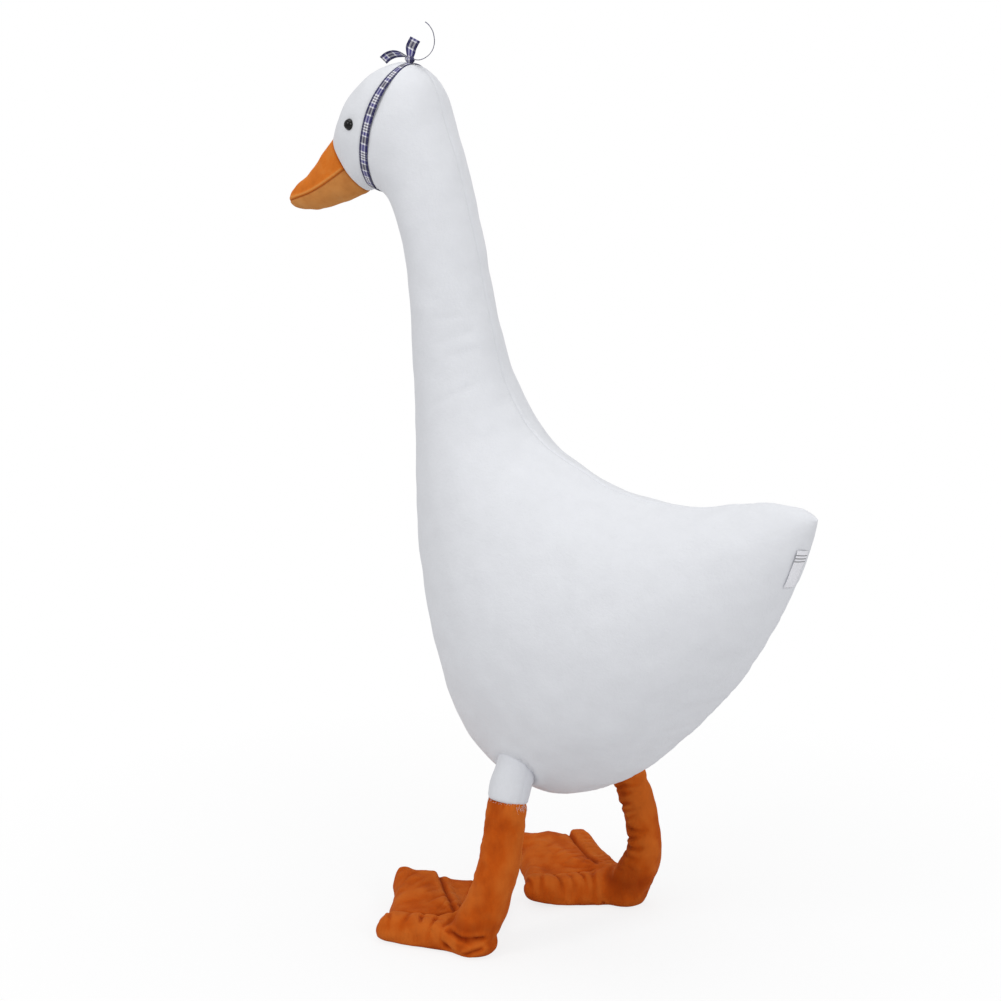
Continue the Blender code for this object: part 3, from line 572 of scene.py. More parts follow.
def plaid_material(name):
    """Woven plaid: navy edges, white stripes and a blue middle, crossed by white and dark bands."""
    made, nodes, shader = new_material(name)
    navy, blue = (0.006, 0.004, 0.075), (0.030, 0.022, 0.24)
    white, dark, gold = (0.86, 0.86, 0.92), (0.060, 0.056, 0.075), (0.20, 0.18, 0.13)
    _, across, along = nodes.weave()
    lengthwise = (
        (0.0, navy), (0.25, white), (0.41, gold), (0.46, blue), (0.54, gold), (0.59, white),
        (0.75, navy),
    )
    crosswise = (
        (0.0, white), (0.05, dark), (0.09, white), (0.14, dark), (0.18, white), (0.23, dark),
        (0.27, white), (0.33, blue), (0.56, white), (0.62, dark), (0.84, white), (0.89, blue),
    )
    warp = nodes.ramp(across, lengthwise, smooth=False)
    weft = nodes.ramp(nodes.math("FRACT", along), crosswise, smooth=False)
    # The crosswise bands show less on the navy edges
    from_middle = nodes.math("ABSOLUTE", nodes.math("SUBTRACT", across, 0.5))
    edge = nodes.math("GREATER_THAN", from_middle, 0.25)
    colour = nodes.mix(nodes.math("MULTIPLY_ADD", edge, -0.52, 0.64), warp, weft)
    stretched = nodes.add("CombineXYZ", {0: across, 1: nodes.math("MULTIPLY", along, 2.9)})
    twill = nodes.add(
        "TexWave", {"Vector": stretched.outputs[0], "Scale": 9.0, "Distortion": 0.4},
        wave_type="BANDS", bands_direction="DIAGONAL",
    ).outputs["Fac"]
    nodes.fill(shader, {
        "Base Color": nodes.mix(nodes.math("MULTIPLY", twill, 0.18), colour, (0.02, 0.02, 0.05)),
        "Roughness": 0.55,
        "Specular IOR Level": 0.3,
        "Sheen Weight": 0.15,
        "Normal": nodes.bumps((twill, 0.4, 0.0002)),
    })
    return made


def eye_material(name):
    """Polished black plastic with a trace of wear."""
    made, nodes, shader = new_material(name)
    smear = nodes.noise(nodes.place(), 300, 2.0, 0.55)
    tints = ((0.3, (0.002, 0.002, 0.0025)), (0.8, (0.005, 0.0045, 0.0045)))
    nodes.fill(shader, {
        "Base Color": nodes.ramp(smear, tints),
        "Roughness": nodes.ramp(smear, ((0.3, grey(0.01)), (0.8, grey(0.04)))),
        "Specular IOR Level": 0.32,
    })
    return made


def tape_material(name):
    """Satin tape with a fine rib and three plain grey lines."""
    made, nodes, shader = new_material(name)
    weave, _, along = nodes.weave()
    rib = nodes.add(
        "TexWave", {"Vector": weave, "Scale": 14.0, "Distortion": 0.3}, bands_direction="X"
    ).outputs["Fac"]
    tint = nodes.ramp(rib, ((0.0, (0.80, 0.80, 0.85)), (0.6, (0.92, 0.92, 0.96))))
    stops = [(0.0, grey(1))]
    for start in (0.66, 0.75, 0.84):
        stops += [(start, grey(0.25)), (start + 0.03, grey(1))]
    lines = nodes.ramp(nodes.math("DIVIDE", along, TAPE_REPEATS), stops, smooth=False)
    nodes.fill(shader, {
        "Base Color": nodes.mix(1.0, tint, lines, "MULTIPLY"),
        "Roughness": 0.45,
        "Sheen Weight": 0.2,
        "Normal": nodes.bumps((rib, 0.5, 0.0002)),
    })
    return made


# The deep, dark and pale colours tint random tufts and nap, and also serve as painted shade and
# painted highlight
WHITE = (0.735, 0.748, 0.780)
WHITE_DEEP = (0.56, 0.57, 0.62)
ORANGE = (0.482, 0.074, 0.0032)
ORANGE_PALE = (0.60, 0.155, 0.022)
ORANGE_DARK = (0.27, 0.030, 0.0015)
BEAK_UP = (0.68, 0.165, 0.014)
BEAK_UP_PALE = (0.72, 0.29, 0.070)
BEAK_UP_DARK = (0.50, 0.11, 0.010)
BEAK_LOW = (0.58, 0.225, 0.055)
BEAK_LOW_PALE = (0.66, 0.32, 0.11)
BEAK_LOW_DARK = (0.40, 0.12, 0.024)

plush = plush_material("white_plush", WHITE, WHITE_DEEP)
velvet = velvet_material("orange_velvet", ORANGE, ORANGE_PALE, ORANGE_DARK, (1, 1, 0.6))
beak_up = velvet_material("beak_velvet_upper", BEAK_UP, BEAK_UP_PALE, BEAK_UP_DARK)
beak_low = velvet_material("beak_velvet_lower", BEAK_LOW, BEAK_LOW_PALE, BEAK_LOW_DARK)
plaid = plaid_material("plaid_ribbon")
black = eye_material("eye_black")
tape = tape_material("label_tape")


# ---- cloth ----
def read(items, name, count):
    """One vector per point of a mesh, as an array."""
    values = np.empty(count * 3)
    items.foreach_get(name, values)
    return values.reshape(-1, 3)


def points_of(mesh):
    return read(mesh.vertices, "co", len(mesh.vertices))


def evaluated_mesh(obj):
    graph = bpy.context.evaluated_depsgraph_get()
    return bpy.data.meshes.new_from_object(obj.evaluated_get(graph), depsgraph=graph)


def with_modifier(obj, kind, **settings):
    """Applies one modifier to the mesh of obj."""
    modifier = obj.modifiers.new(kind.lower(), kind)
    for name, value in settings.items():
        setattr(modifier, name, value)
    mesh = evaluated_mesh(obj)
    obj.modifiers.clear()
    old = obj.data
    obj.data = mesh
    bpy.data.meshes.remove(old)


CLOTH_SETTINGS = {
    "quality": 4, "mass": 0.3, "tension_stiffness": 25, "compression_stiffness": 8,
    "shear_stiffness": 8, "bending_stiffness": 0.25, "shrink_min": -0.02, "use_pressure": True,
    "vertex_group_mass": "held",
}
CLOTH_FRAMES = 20
CLOTH_PRESSURE = 3.0


def swell(obj, held, cap):
    """Lets a stuffed skin swell as cloth. Held is 1 where stitches or the floor hold it.
    No point moves further than cap, in metres. Returns how far each point moved."""
    before = points_of(obj.data)
    scene = bpy.context.scene
    group = obj.vertex_groups.new(name="held")
    for index in np.flatnonzero(held > 0.01):
        group.add([int(index)], float(held[index]), "REPLACE")
    cloth = obj.modifiers.new("cloth", "CLOTH")
    for name, value in CLOTH_SETTINGS.items():
        setattr(cloth.settings, name, value)
    cloth.settings.uniform_pressure_force = CLOTH_PRESSURE
    cloth.settings.effector_weights.gravity = 0
    cloth.collision_settings.use_collision = False
    cloth.point_cache.frame_start, cloth.point_cache.frame_end = 1, CLOTH_FRAMES
    for frame_number in range(1, CLOTH_FRAMES + 1):
        scene.frame_set(frame_number)
    after = points_of(evaluated_mesh(obj))
    obj.modifiers.clear()
    scene.frame_set(1)
    moved = after - before
    size = np.linalg.norm(moved, axis=1, keepdims=True)
    moved *= cap * np.tanh(size / cap) / np.maximum(size, 1e-9)
    obj.data.vertices.foreach_set("co", (before + moved).ravel())
    obj.data.update()
    return moved


def gathers(along, across, seed, spacing, width, length):
    """Creases that cross a tube: along and across are distances on its skin."""
    random = np.random.default_rng(seed)
    total = np.zeros(np.broadcast(along, across).shape)
    place = along.min() + spacing * random.uniform(0.3, 0.8)
    while place < along.max():
        lean = random.uniform(-0.35, 0.35)
        bow = random.uniform(-0.008, 0.008)
        middle = random.uniform(-0.25, 0.25) * length
        reach = length * random.uniform(0.6, 1.1)
        size = random.uniform(0.45, 1.0)
        wide = width * random.uniform(0.8, 1.3)
        off = along - place - lean * across - bow * across**2
        total += size * bell(off, wide) * np.exp(-(((across - middle) / reach) ** 4))
        place += spacing * random.uniform(0.7, 1.35)
    return total


# ---- body ----
BODY_ROWS = 380
BODY_COLUMNS = 220
SEAM_CROWD = 0.8
NECK_FOLDS = (
    ((-48, -43, 623.5), (-26, -31, 626.5), 0.9, 4.5),
    ((-46, -44, 600), (-17, -26, 611.5), 1.3, 4.5),
    ((-36, -43.5, 587), (-10, -23, 595), 1.4, 5.0),
    ((-46, -48, 563), (-16, -34, 574), 0.7, 5.0),
    ((-42, -52, 541), (-8, -37, 559), 1.5, 5.5),
    ((-60, -46, 640), (-42, -40, 645), 0.6, 4.0),
)
# Creases run in from the lower tail seam
TAIL_FOLDS = (
    ((327, -4, 396), (300, -34, 386), 1.3, 5.0),
    ((316, -3, 366), (288, -36, 358), 0.9, 5.0),
    ((303, -3, 344), (276, -40, 330), 1.1, 5.5),
    ((284, -3, 315), (256, -42, 304), 1.0, 5.5),
    ((262, -3, 284), (236, -44, 276), 1.0, 6.0),
    ((236, -3, 254), (214, -46, 246), 0.9, 6.0),
    ((205, -3, 222), (188, -48, 222), 0.8, 6.0),
)


def seam_angles(columns, crowd):
    """Angles round a slice, closer together at the seams."""
    share = np.arange(columns) / columns * 2
    return 180 * (share - crowd * np.sin(2 * np.pi * share) / (2 * np.pi))


def seam_distances(grid):
    """Distance round each ring from the point at column 0, and from the one half way round."""
    half = grid.shape[1] // 2
    step = np.linalg.norm(np.roll(grid, -1, axis=1) - grid, axis=2)
    one, two = (
        np.pad(np.cumsum(way[:, :half], axis=1), ((0, 0), (1, 0))) for way in (step, step[:, ::-1])
    )
    front = np.hstack([one[:, :half], two[:, :0:-1]])
    one, two = one[:, -1:] - one, two[:, -1:] - two
    return front, np.hstack([one[:, :half], two[:, :0:-1]])


def along_line(line):
    return np.concatenate([[0], np.cumsum(np.linalg.norm(np.diff(line, axis=0), axis=1))])


def nearest(points, line):
    """Distance of each point to the nearest of the points of a line."""
    flat = points.reshape(-1, points.shape[-1])
    best = np.full(len(flat), 1e9)
    for start in range(0, len(line), 40):
        part = line[start : start + 40]
        gap = np.linalg.norm(flat[:, None] - part[None], axis=2).min(axis=1)
        best = np.minimum(best, gap)
    return best.reshape(points.shape[:-1])


def ribbon_line(count):
    """Slice numbers, angles and widths along the ribbon, all the way round the head."""
    half = through(RIBBON_PATH, count // 2 + 1)
    other = half[-2:0:-1].copy()
    other[:, 0] = 360 - other[:, 0]
    return np.vstack([half, other])


def ribbon_points(count):
    return np.array([body_point(at, angle) for angle, at, _ in ribbon_line(count)])


def mirrored(lines, move):
    """The same creases on the other side, moved a little so that the sides aren't alike."""
    made = []
    for start, end, depth, width in lines:
        a = (start[0] + move, -start[1], start[2] + 0.6 * move)
        b = (end[0] + 0.7 * move, -end[1], end[2] + 0.5 * move)
        made.append((a, b, depth * 0.9, width))
    return made


TRIAL_ROWS = 150
TRIAL_COLUMNS = 64
BODY_CAP = 0.004
# The belly lies below this height, and the head's slices come before this number
BELLY_TOP = 260
NECK_SLICE = 6
# The creases on the right side lie this much further along the seams
RIGHT_SHIFT = 7.0


def leg_gap(points, leg):
    """Distance of points to the line of a leg's upper part."""
    return nearest(points, through(leg, 60, 4)[:, :3])


def body_swell(at, angles, normal):
    """How the stuffed skin moves as cloth, held along the seams, at the legs and at the ribbon."""
    trial_at = even_rows(body_rows, len(BODY_SLICES), TRIAL_ROWS)
    grid = ring_points(body_rows(trial_at), 360 * np.arange(TRIAL_COLUMNS) / TRIAL_COLUMNS)
    obj = tube_object("body_trial", grid)
    held = np.zeros(grid.shape[:2])
    held[:, 0] = held[:, TRIAL_COLUMNS // 2] = 0.85
    held[:3] = held[-3:] = 1.0
    for leg in (LEFT_LEG, RIGHT_LEG):
        sewn = leg_gap(grid, leg) < leg[2][3] + 3
        held = np.maximum(held, sewn * (grid[:, :, 2] < BELLY_TOP) * 0.9)
    pressed = nearest(grid, ribbon_points(100)) < 6
    held = np.maximum(held, pressed * (trial_at < NECK_SLICE)[:, None] * 0.8)
    moved = swell(obj, np.concatenate([held.ravel(), [1.0, 1.0]]), BODY_CAP)[:-2] / MM
    bpy.data.objects.remove(obj)
    field = np.interp(at, trial_at, np.arange(TRIAL_ROWS))
    field = curve(moved.reshape(TRIAL_ROWS, -1), field).reshape(len(at), TRIAL_COLUMNS, 3)
    wide = np.concatenate([field[:, -2:], field, field[:, :3]], axis=1).transpose(1, 0, 2)
    column = np.asarray(angles) / 360 * TRIAL_COLUMNS + 2
    field = curve(wide.reshape(len(wide), -1), column).reshape(len(angles), len(at), 3)
    field = field.transpose(1, 0, 2)
    return field - normal * np.mean((field * normal).sum(axis=2))


def puckers(line, wavelength, seed):
    """Uneven waves from 0 to 1 along a seam, which gather the cloth beside it."""
    return (0.5 + 0.5 * ripple(line, wavelength, seed)) ** 2


def build_body():
    at = even_rows(body_rows, len(BODY_SLICES), BODY_ROWS)
    rows = smoothed(body_rows(at), 2.5)
    angles = seam_angles(BODY_COLUMNS, SEAM_CROWD)
    grid = ring_points(rows, angles)
    front, back = seam_distances(grid)
    seam = np.minimum(front, back)
    grid = grid + body_swell(at, angles, grid_normals(grid))
    normal = grid_normals(grid)
    half = BODY_COLUMNS // 2
    front_along = along_line(grid[:, 0])[:, None]
    back_along = along_line(grid[:, half])[:, None]
    place = at[:, None]
    shift = np.where(np.arange(BODY_COLUMNS) <= half, 0.0, RIGHT_SHIFT)[None, :]

    depth = 0.9 * lumps(grid, 85, 3) + 0.35 * lumps(grid, 34, 4)
    small = clamp(rows[:, 4:5] / 30)
    depth *= small
    # The stitched seam: a narrow valley with a soft swell on each side
    stitched = np.interp(place, (0, 3, 8, 12, 17, 21), (0.3, 0.35, 0.45, 0.65, 0.9, 0.7))
    depth += (-1.2 * bell(seam, 1.3) + 0.45 * bell(seam - 4.2, 2.6)) * stitched
    # Puckers run in from the seam
    front_size = np.interp(place, (0, 9, 12, 15, 18, 21), (0.1, 0.3, 0.5, 0.7, 0.8, 0.5))
    back_size = np.interp(place, (0, 4, 9, 12, 17, 21), (0.1, 0.25, 0.4, 0.35, 0.6, 0.5))
    start = 1 - np.exp(-seam / 1.2)
    depth -= front_size * puckers(front_along + shift, 11.0, 5) * np.exp(-front / 9.0) * start
    depth -= back_size * puckers(back_along + shift, 12.0, 6) * np.exp(-back / 8.0) * start
    lines = [*NECK_FOLDS, *TAIL_FOLDS, *mirrored(NECK_FOLDS, -8.0), *mirrored(TAIL_FOLDS, 6.0)]
    low = folds(grid, lines)
    depth += low
    # Where the legs are sewn on
    painted_leg_shadow = np.zeros(grid.shape[:2])
    near_leg = grid[:, :, 2] < BELLY_TOP
    for leg in (LEFT_LEG, RIGHT_LEG):
        gap = leg_gap(grid, leg) - leg[2][3]
        behind = np.clip(0.35 + (grid[:, :, 0] - leg[2][0]) / 25, 0.1, 1)
        depth += 2.6 * bell(gap - 2, 7.0) * near_leg
        depth -= 2.6 * bell(gap - 0.5, 2.2) * near_leg * behind
        # Painted shadow on the belly beside and behind each leg
        painted_leg_shadow += 0.5 * bell(gap, 4.5) * near_leg * behind
    # The eyes are pulled in, and the ribbon presses the pile down
    head = place < NECK_SLICE
    for sign in (1, -1):
        gap = np.linalg.norm(grid - body_point(EYE_SLICE, EYE_ANGLE * sign), axis=2)
        depth -= 1.3 * bell(gap, 8.5) * head
    gap = nearest(grid, ribbon_points(160))
    depth += (-0.9 * bell(gap, 6.5) + 0.35 * bell(gap - 9.5, 3.5)) * head
    # The edge that is sewn to the beak rolls in
    depth -= 1.2 * bell(back_along, 1.6)
    depth[-6:] *= 0.2
    grid = grid + normal * depth[:, :, None]
    # Painted shade in the seam groove, in the folds and along the rolled edge by the beak, plus the
    # painted shadow by the legs
    painted_shading = clamp(0.4 * bell(seam, 1.0) * stitched - low * 0.10 + 0.6 * bell(back_along, 1.2))
    painted_shading = painted_shading * np.clip(small, 0.2, 1) + painted_leg_shadow
    obj = tube_object("body_plush", grid, painted_shading)
    covered = ["body_panel_left", "body_panel_right", "body_stuffing"]
    finish_piece(obj, [plush], covered)


# ---- beak ----
BEAK_ROWS = 110
BEAK_COLUMNS = 120
MOUTH_DROPS = (10, 9, 4, 2, 5, 8)


def build_beak():
    at = even_rows(beak_rows, len(BEAK_SLICES) + 1, BEAK_ROWS)
    rows = smoothed(beak_rows(at), 2.0)
    # Columns crowd at the mouth line, a quarter of the way round on each side
    angles = seam_angles(BEAK_COLUMNS, 0.75) + MOUTH_ANGLE
    # The mouth line runs straight, so it sits lower on the slices at the base and the tip
    drop = np.interp(at, (0, 1, 2.5, 4, 6, 7), MOUTH_DROPS)[:, None]
    around = (angles[None, :] - MOUTH_ANGLE) % 360
    lean = -drop * np.cos(np.radians(around)) ** 3
    rings = [ring_points(row[None], angles + turn) for row, turn in zip(rows, lean)]
    grid = np.concatenate(rings)
    mouth, other = seam_distances(grid)
    seam = np.minimum(mouth, other)
    normal = grid_normals(grid)
    upper = (np.cos(np.radians(angles)) < 0)[None, :]
    size = clamp(rows[:, 4:5] / 12)
    line = along_line(grid[:, 0])[:, None]
    depth = 0.45 * lumps(grid, 30, 21) + 0.25 * lumps(grid, 13, 22)
    lip = np.where(upper, 1.5, 0.25) * clamp((6.4 - at[:, None]) / 1.5)
    depth += -1.2 * bell(seam, 0.8) + lip * bell(seam - 2.6, 1.7)
    depth -= 0.45 * puckers(line, 6.0, 23) * np.exp(-seam / 4.0) * (1 - np.exp(-seam / 0.8))
    depth = depth * size
    from_head = line - line[0]
    depth -= 1.1 * bell(from_head, 1.4)
    base_arc = np.radians(angles)[None, :] * THROAT_SLICES[0][4]
    depth -= 0.5 * puckers(base_arc, 9.0, 24) * np.exp(-from_head / 5.0)
    grid = grid + normal * depth[:, :, None]
    # Painted shade at the mouth seam and where the beak meets the head, and a painted highlight on
    # the upper lip
    painted_shading = bell(seam, 0.7) + 0.8 * bell(from_head, 1.5) - 0.7 * bell(seam - 2.2, 1.2) * upper
    sides = np.repeat(np.where(upper, 0, 1), BEAK_ROWS - 1, axis=0)
    obj = tube_object("beak_velvet", grid, painted_shading, sides)
    covered = ["beak_upper", "beak_lower", "beak_stuffing"]
    finish_piece(obj, [beak_up, beak_low], covered)


# ---- eyes ----
EYE_COLUMNS = 48
# Radius and height of the dome
EYE_PROFILE = (
    (5.75, -0.6), (5.85, 0.1), (5.75, 0.7), (5.45, 1.1), (5.25, 1.35), (5.1, 1.75), (4.75, 2.45),
    (4.2, 3.15), (3.4, 3.8), (2.4, 4.25), (1.2, 4.52), (0.35, 4.6),
)


def build_eyes():
    a = 2 * np.pi * np.arange(EYE_COLUMNS) / EYE_COLUMNS
    profile = through(EYE_PROFILE, 34)
    radius, height = profile[:, :1], profile[:, 1:]
    dome = np.dstack([radius * np.cos(a), radius * np.sin(a), height + 0 * a])
    for side, sign in (("left", 1), ("right", -1)):
        spot = body_point(EYE_SLICE, EYE_ANGLE * sign)
        normal = body_normal(EYE_SLICE, EYE_ANGLE * sign)
        turn = Vector(normal).to_track_quat("Z", "Y").to_matrix()
        grid = dome @ np.array(turn).T + spot - normal * 0.4
        finish_piece(tube_object("eye_gloss_" + side, grid), [black], ["eye_" + side])


# ---- ribbon ----
RIBBON_THICK = 0.45
RIBBON_COLUMNS = 9
PLAID_REPEAT = 29.5
END_COUNTS = (40, 40, 70)
KNOT_SIZE = (5.0, 4.4, 3.7)
KNOT_COLUMNS = 40


def band_object(name, middle, widths, outs, closed, start=0.0):
    """Thin strip of cloth: two faces and edges, with weave coordinates."""
    share = np.linspace(-0.5, 0.5, RIBBON_COLUMNS)
    crown = 0.25 * (1 - (2 * share) ** 2)
    top = middle[:, None] + widths[:, None] * share[None, :, None]
    top = top + outs[:, None] * crown[None, :, None]
    bottom = top - outs[:, None] * RIBBON_THICK
    loop = np.concatenate([top, bottom[:, ::-1]], axis=1)
    across = np.concatenate([share + 0.5, (share + 0.5)[::-1]])
    uv = weave_places(across, (along_line(middle) + start) / PLAID_REPEAT)
    if not closed:
        return tube_object(name, loop, uv=uv)
    verts = loop.reshape(-1, 3)
    return mesh_from(name, verts, outward(verts, ring_quads(*loop.shape[:2])), uv=uv.reshape(-1, 2))


def build_band():
    """The ribbon's band round the head, and its length."""
    path = ribbon_line(220)
    path = np.vstack([path, path[:1] + np.array((360, 0, 0))])
    rows = []
    for k, (angle, at, width) in enumerate(path):
        before, after = path[max(k - 1, 0)], path[min(k + 1, len(path) - 1)]
        ahead = body_point(after[1], after[0]) - body_point(before[1], before[0])
        normal = body_normal(at, angle)
        across = unit(np.cross(normal, ahead)) * width / 2
        one = body_point(*body_step(at, angle, across))
        two = body_point(*body_step(at, angle, -across))
        rows.append(((one + two) / 2 + normal * 0.7, one - two, normal))
    middle, widths, outs = np.array(rows).transpose(1, 0, 2)
    far = along_line(middle)
    wobble = ripple(far, 34.0, 31) * 0.25
    tilt = ripple(far, 55.0, 32) * 0.05
    widths = widths + outs * (tilt * np.linalg.norm(widths, axis=1))[:, None]
    middle = middle + outs * (0.15 + wobble)[:, None] * 0.5
    return band_object("ribbon_band", middle, widths, outs, True), along_line(middle)[-1] * MM


def build_end(number, line, width, size):
    """One end of the ribbon, gathered where it leaves the knot."""
    count = END_COUNTS[number]
    points = through(line, count) + (0, TORSO_SIDE, 0)
    grown = 0.5 + 0.5 * clamp(np.linspace(0, len(line) - 1, count) / 1.6) ** 0.8
    spans = (unit(np.array(width, float)) * size)[None] * grown[:, None]
    out = unit(np.cross(unit(np.gradient(points, axis=0)), spans))
    if number < 2 and out[:, 2].mean() < 0:
        out = -out
    piece = band_object(f"ribbon_end_{number}", points, spans, out, False, 7.0 * number)
    finish_piece(piece, [plaid], [])


def build_knot():
    lifts = np.linspace(-85, 85, 30)
    lift = np.radians(lifts)[:, None]
    a = 2 * np.pi * np.arange(KNOT_COLUMNS) / KNOT_COLUMNS
    fold = (1 + 0.10 * np.cos(3 * a + 2.0 * lift) + 0.05 * np.cos(7 * a - lift)) * np.cos(lift)
    shape = np.dstack([np.cos(a) * fold, np.sin(a) * fold, np.sin(lift) + 0 * a])
    grid = shape * KNOT_SIZE + KNOT_CENTRE + np.array((0, TORSO_SIDE, 0))
    return tube_object("ribbon_knot", grid, uv=weave_places(0.5 + 0.5 * np.cos(a), lifts / 60))


def build_ribbon():
    band, length = build_band()
    for number, end in enumerate(RIBBON_ENDS):
        build_end(number, *end)
    knot = build_knot()
    finish_piece(knot, [plaid], [])
    finish_piece(band, [plaid], ["head_ribbon"])


# ---- legs ----
LEG_COLUMNS = 84
LEG_SPACING = 1.6
LEG_RADIUS = 20
THIGH_SHARES = (0.45, 0.8, 0.97, 1, 1, 1, 1, 1, 1)
# The cloth's join runs down the side that faces away
HIDDEN_TURN = math.radians(235)
# The thigh is darker on the side away from the light and at its top, under the belly
SHADED_TURN = math.radians(-35)
THIGH_SHADE_Z = 186


def arc_from(turn, centre):
    """Distance round a leg from one turn, either way."""
    return ((turn - centre + np.pi) % (2 * np.pi) - np.pi) * LEG_RADIUS


def arc_from_join(turn):
    return ((turn - HIDDEN_TURN) % (2 * np.pi)) * LEG_RADIUS


def leg_frames(rows, first, last, count):
    """Line, directions round it and distances along it, between two rows of a leg."""
    dense = np.linspace(first, last, 400)
    far = along_line(curve(rows, dense)[:, :3])
    even = np.linspace(0, far[-1], count)
    line = curve(rows, np.interp(even, far, dense))
    along = unit(np.gradient(line[:, :3], axis=0))
    side = unit(np.cross(along, (0, 1, 0)))
    return line, side, np.cross(along, side), even


def leg_surface(rows, first, last, spacing, columns):
    """Rings round a leg's line between two of its rows."""
    dense = curve(rows, np.linspace(first, last, 400))
    count = int(along_line(dense[:, :3])[-1] / spacing)
    line, side, other, far = leg_frames(rows, first, last, count)
    turn = (2 * np.pi * np.arange(columns) / columns)[None, :]
    away = side[:, None] * np.cos(turn)[..., None] + other[:, None] * np.sin(turn)[..., None]
    grid = line[:, None, :3] + away * line[:, None, 3:4]
    return grid, away, far[:, None], turn


def build_thigh(side_name, rows, seam_turn, seed):
    """Short white sleeve that narrows where it is sewn under the belly."""
    rows = [(*row[:3], row[3] * share) for row, share in zip(rows, THIGH_SHARES)]
    grid, away, far, turn = leg_surface(rows, 0, THIGH_STEPS, LEG_SPACING, LEG_COLUMNS)
    above = far[-1] - far
    depth = 0.5 * lumps(grid, 30, seed) + 0.4 - 1.8 * bell(above, 1.6)
    depth -= 0.7 * gathers(arc_from_join(turn), above, seed + 1, 8.0, 1.8, 9.0)
    seam = arc_from(turn, seam_turn)
    depth -= 0.5 * bell(seam, 1.0)
    under_belly = grid[:, :, 2] - THIGH_SHADE_Z + 0.7 * (grid[:, :, 0] - rows[2][0])
    # Painted shade at the sewn top, along the seam and under the belly, a little all over, and most
    # on the side away from the light
    painted_shading = bell(above, 1.0) * 0.5 + 0.2 * bell(seam, 0.8) + 0.45 * clamp(under_belly / 22)
    painted_shading = painted_shading + 0.22 + 0.75 * clamp(np.cos(turn - SHADED_TURN)) ** 1.5
    grid = grid + away * depth[:, :, None]
    thigh = tube_object("thigh_plush_" + side_name, grid, painted_shading)
    finish_piece(thigh, [plush], ["thigh_" + side_name])


# ---- loose pile at the seam ----
HAIRS, LONG_HAIRS = 150, 70


def build_fluff(rows, seed):
    """Short white fibres that stick out where the plush sleeve is sewn to the velvet."""
    random = np.random.default_rng(seed)
    line, side, other, _ = leg_frames(rows, THIGH_STEPS - 0.06, THIGH_STEPS + 0.12, 5)
    along = unit(line[-1, :3] - line[0, :3])
    steps = np.linspace(0, 1, 5)[:, None]
    ring = np.radians((0, 120, 240))[None, :, None]
    thick = 0.17 * (1 - 0.75 * steps)[:, None]
    grids = []
    for hair in range(HAIRS):
        long = hair < LONG_HAIRS
        turn = random.normal(0.05, 0.22) if long else random.uniform(-math.pi, math.pi)
        away = side[2] * math.cos(turn) + other[2] * math.sin(turn)
        across = np.cross(away, along)
        size = random.uniform(2.5, 6.0) if long else random.uniform(1.0, 2.4)
        lean = away * random.uniform(0.2, 0.9) + along * random.uniform(0.5, 1.0)
        lean = lean + across * random.uniform(-0.5, 0.5)
        start = line[2, :3] + away * (line[2, 3] - 1.2) + along * random.uniform(-1.5, 1.0)
        curl = random.normal(size=3) * 0.25
        middle = start + (lean * steps + curl * steps**2) * size
        grids.append(middle[:, None] + thick * (away * np.cos(ring) + across * np.sin(ring)))
    finish_piece(mesh_from("seam_fluff", *closed_tubes(grids)), [plush], [])


# ---- lower legs and feet ----
FOOT_POINTS = 220
FOOT_STEPS = 26
FOOT_BLEND = 1.6
TOE_CREASES = (3.4, 0.9, 1.1)
SOFT_SOLE = 7.5
SOFT_EDGE = 9.0
SOFT_HEEL = 24.5
SOFT_HEEL_HEIGHT = 27.0
LOWER_VOXEL = 3.3
LEG_CAP = 0.0035
# The velvet sleeve starts just above its seam and widens toward the foot
SLEEVE_TOP = THIGH_STEPS - 0.1
SLEEVE_WIDER = (0, 0, 0, 0, 0, 0, 0.8, 2.2, 2.2)
# Toes: direction, length, lift of the tip, and half width and height at the root. Webs: heights at
# both toes, and the shares of the way where the height changes. Grooves: how deep the stitched line
# is on each side of each toe. Tucks: lines over the webs, and lines at the heel. The sleeve creases
# where it bends, and its seam runs down at one turn.
LEFT_FOOT = {
    "toes": ((198, 104, 0, 21, 26), (155, 160, 12, 18, 32), (118, 124, 9, 18, 31)),
    "webs": ((13, 28, 0.0, 0.9), (28, 15, 0.33, 0.5)),
    "grooves": ((0, 1), (0, 0), (0.4, 0)),
    "tucks": (((-104, 84), (-31, 12)),),
    "heel_tucks": (
        ((17, -117, 25), (33, -121, 21), (46, -119, 20.5), (55, -110, 23)),
        ((42, -122, 4), (51, -120, 9), (57, -114, 12)),
        ((8, -116, 16), (20, -121, 8), (28, -123, 4)),
    ),
    "bend_turn": math.radians(150),
    "bend_size": 0.6,
    "seam_turn": math.radians(-30),
}
RIGHT_FOOT = {
    "toes": ((223, 106, 9, 19, 31), (173, 156, 12, 18, 32), (143, 138, 12, 18, 32)),
    "webs": ((13, 29, 0.0, 0.9), (29, 17, 0.5, 0.8)),
    "grooves": ((0, 1), (0, 0), (1, 0)),
    "tucks": (),
    "heel_tucks": (((70, 76, 22), (76, 73, 12), (80, 72, 5)),),
    "bend_turn": math.radians(115),
    "bend_size": 3.2,
    "seam_turn": math.radians(-25),
}


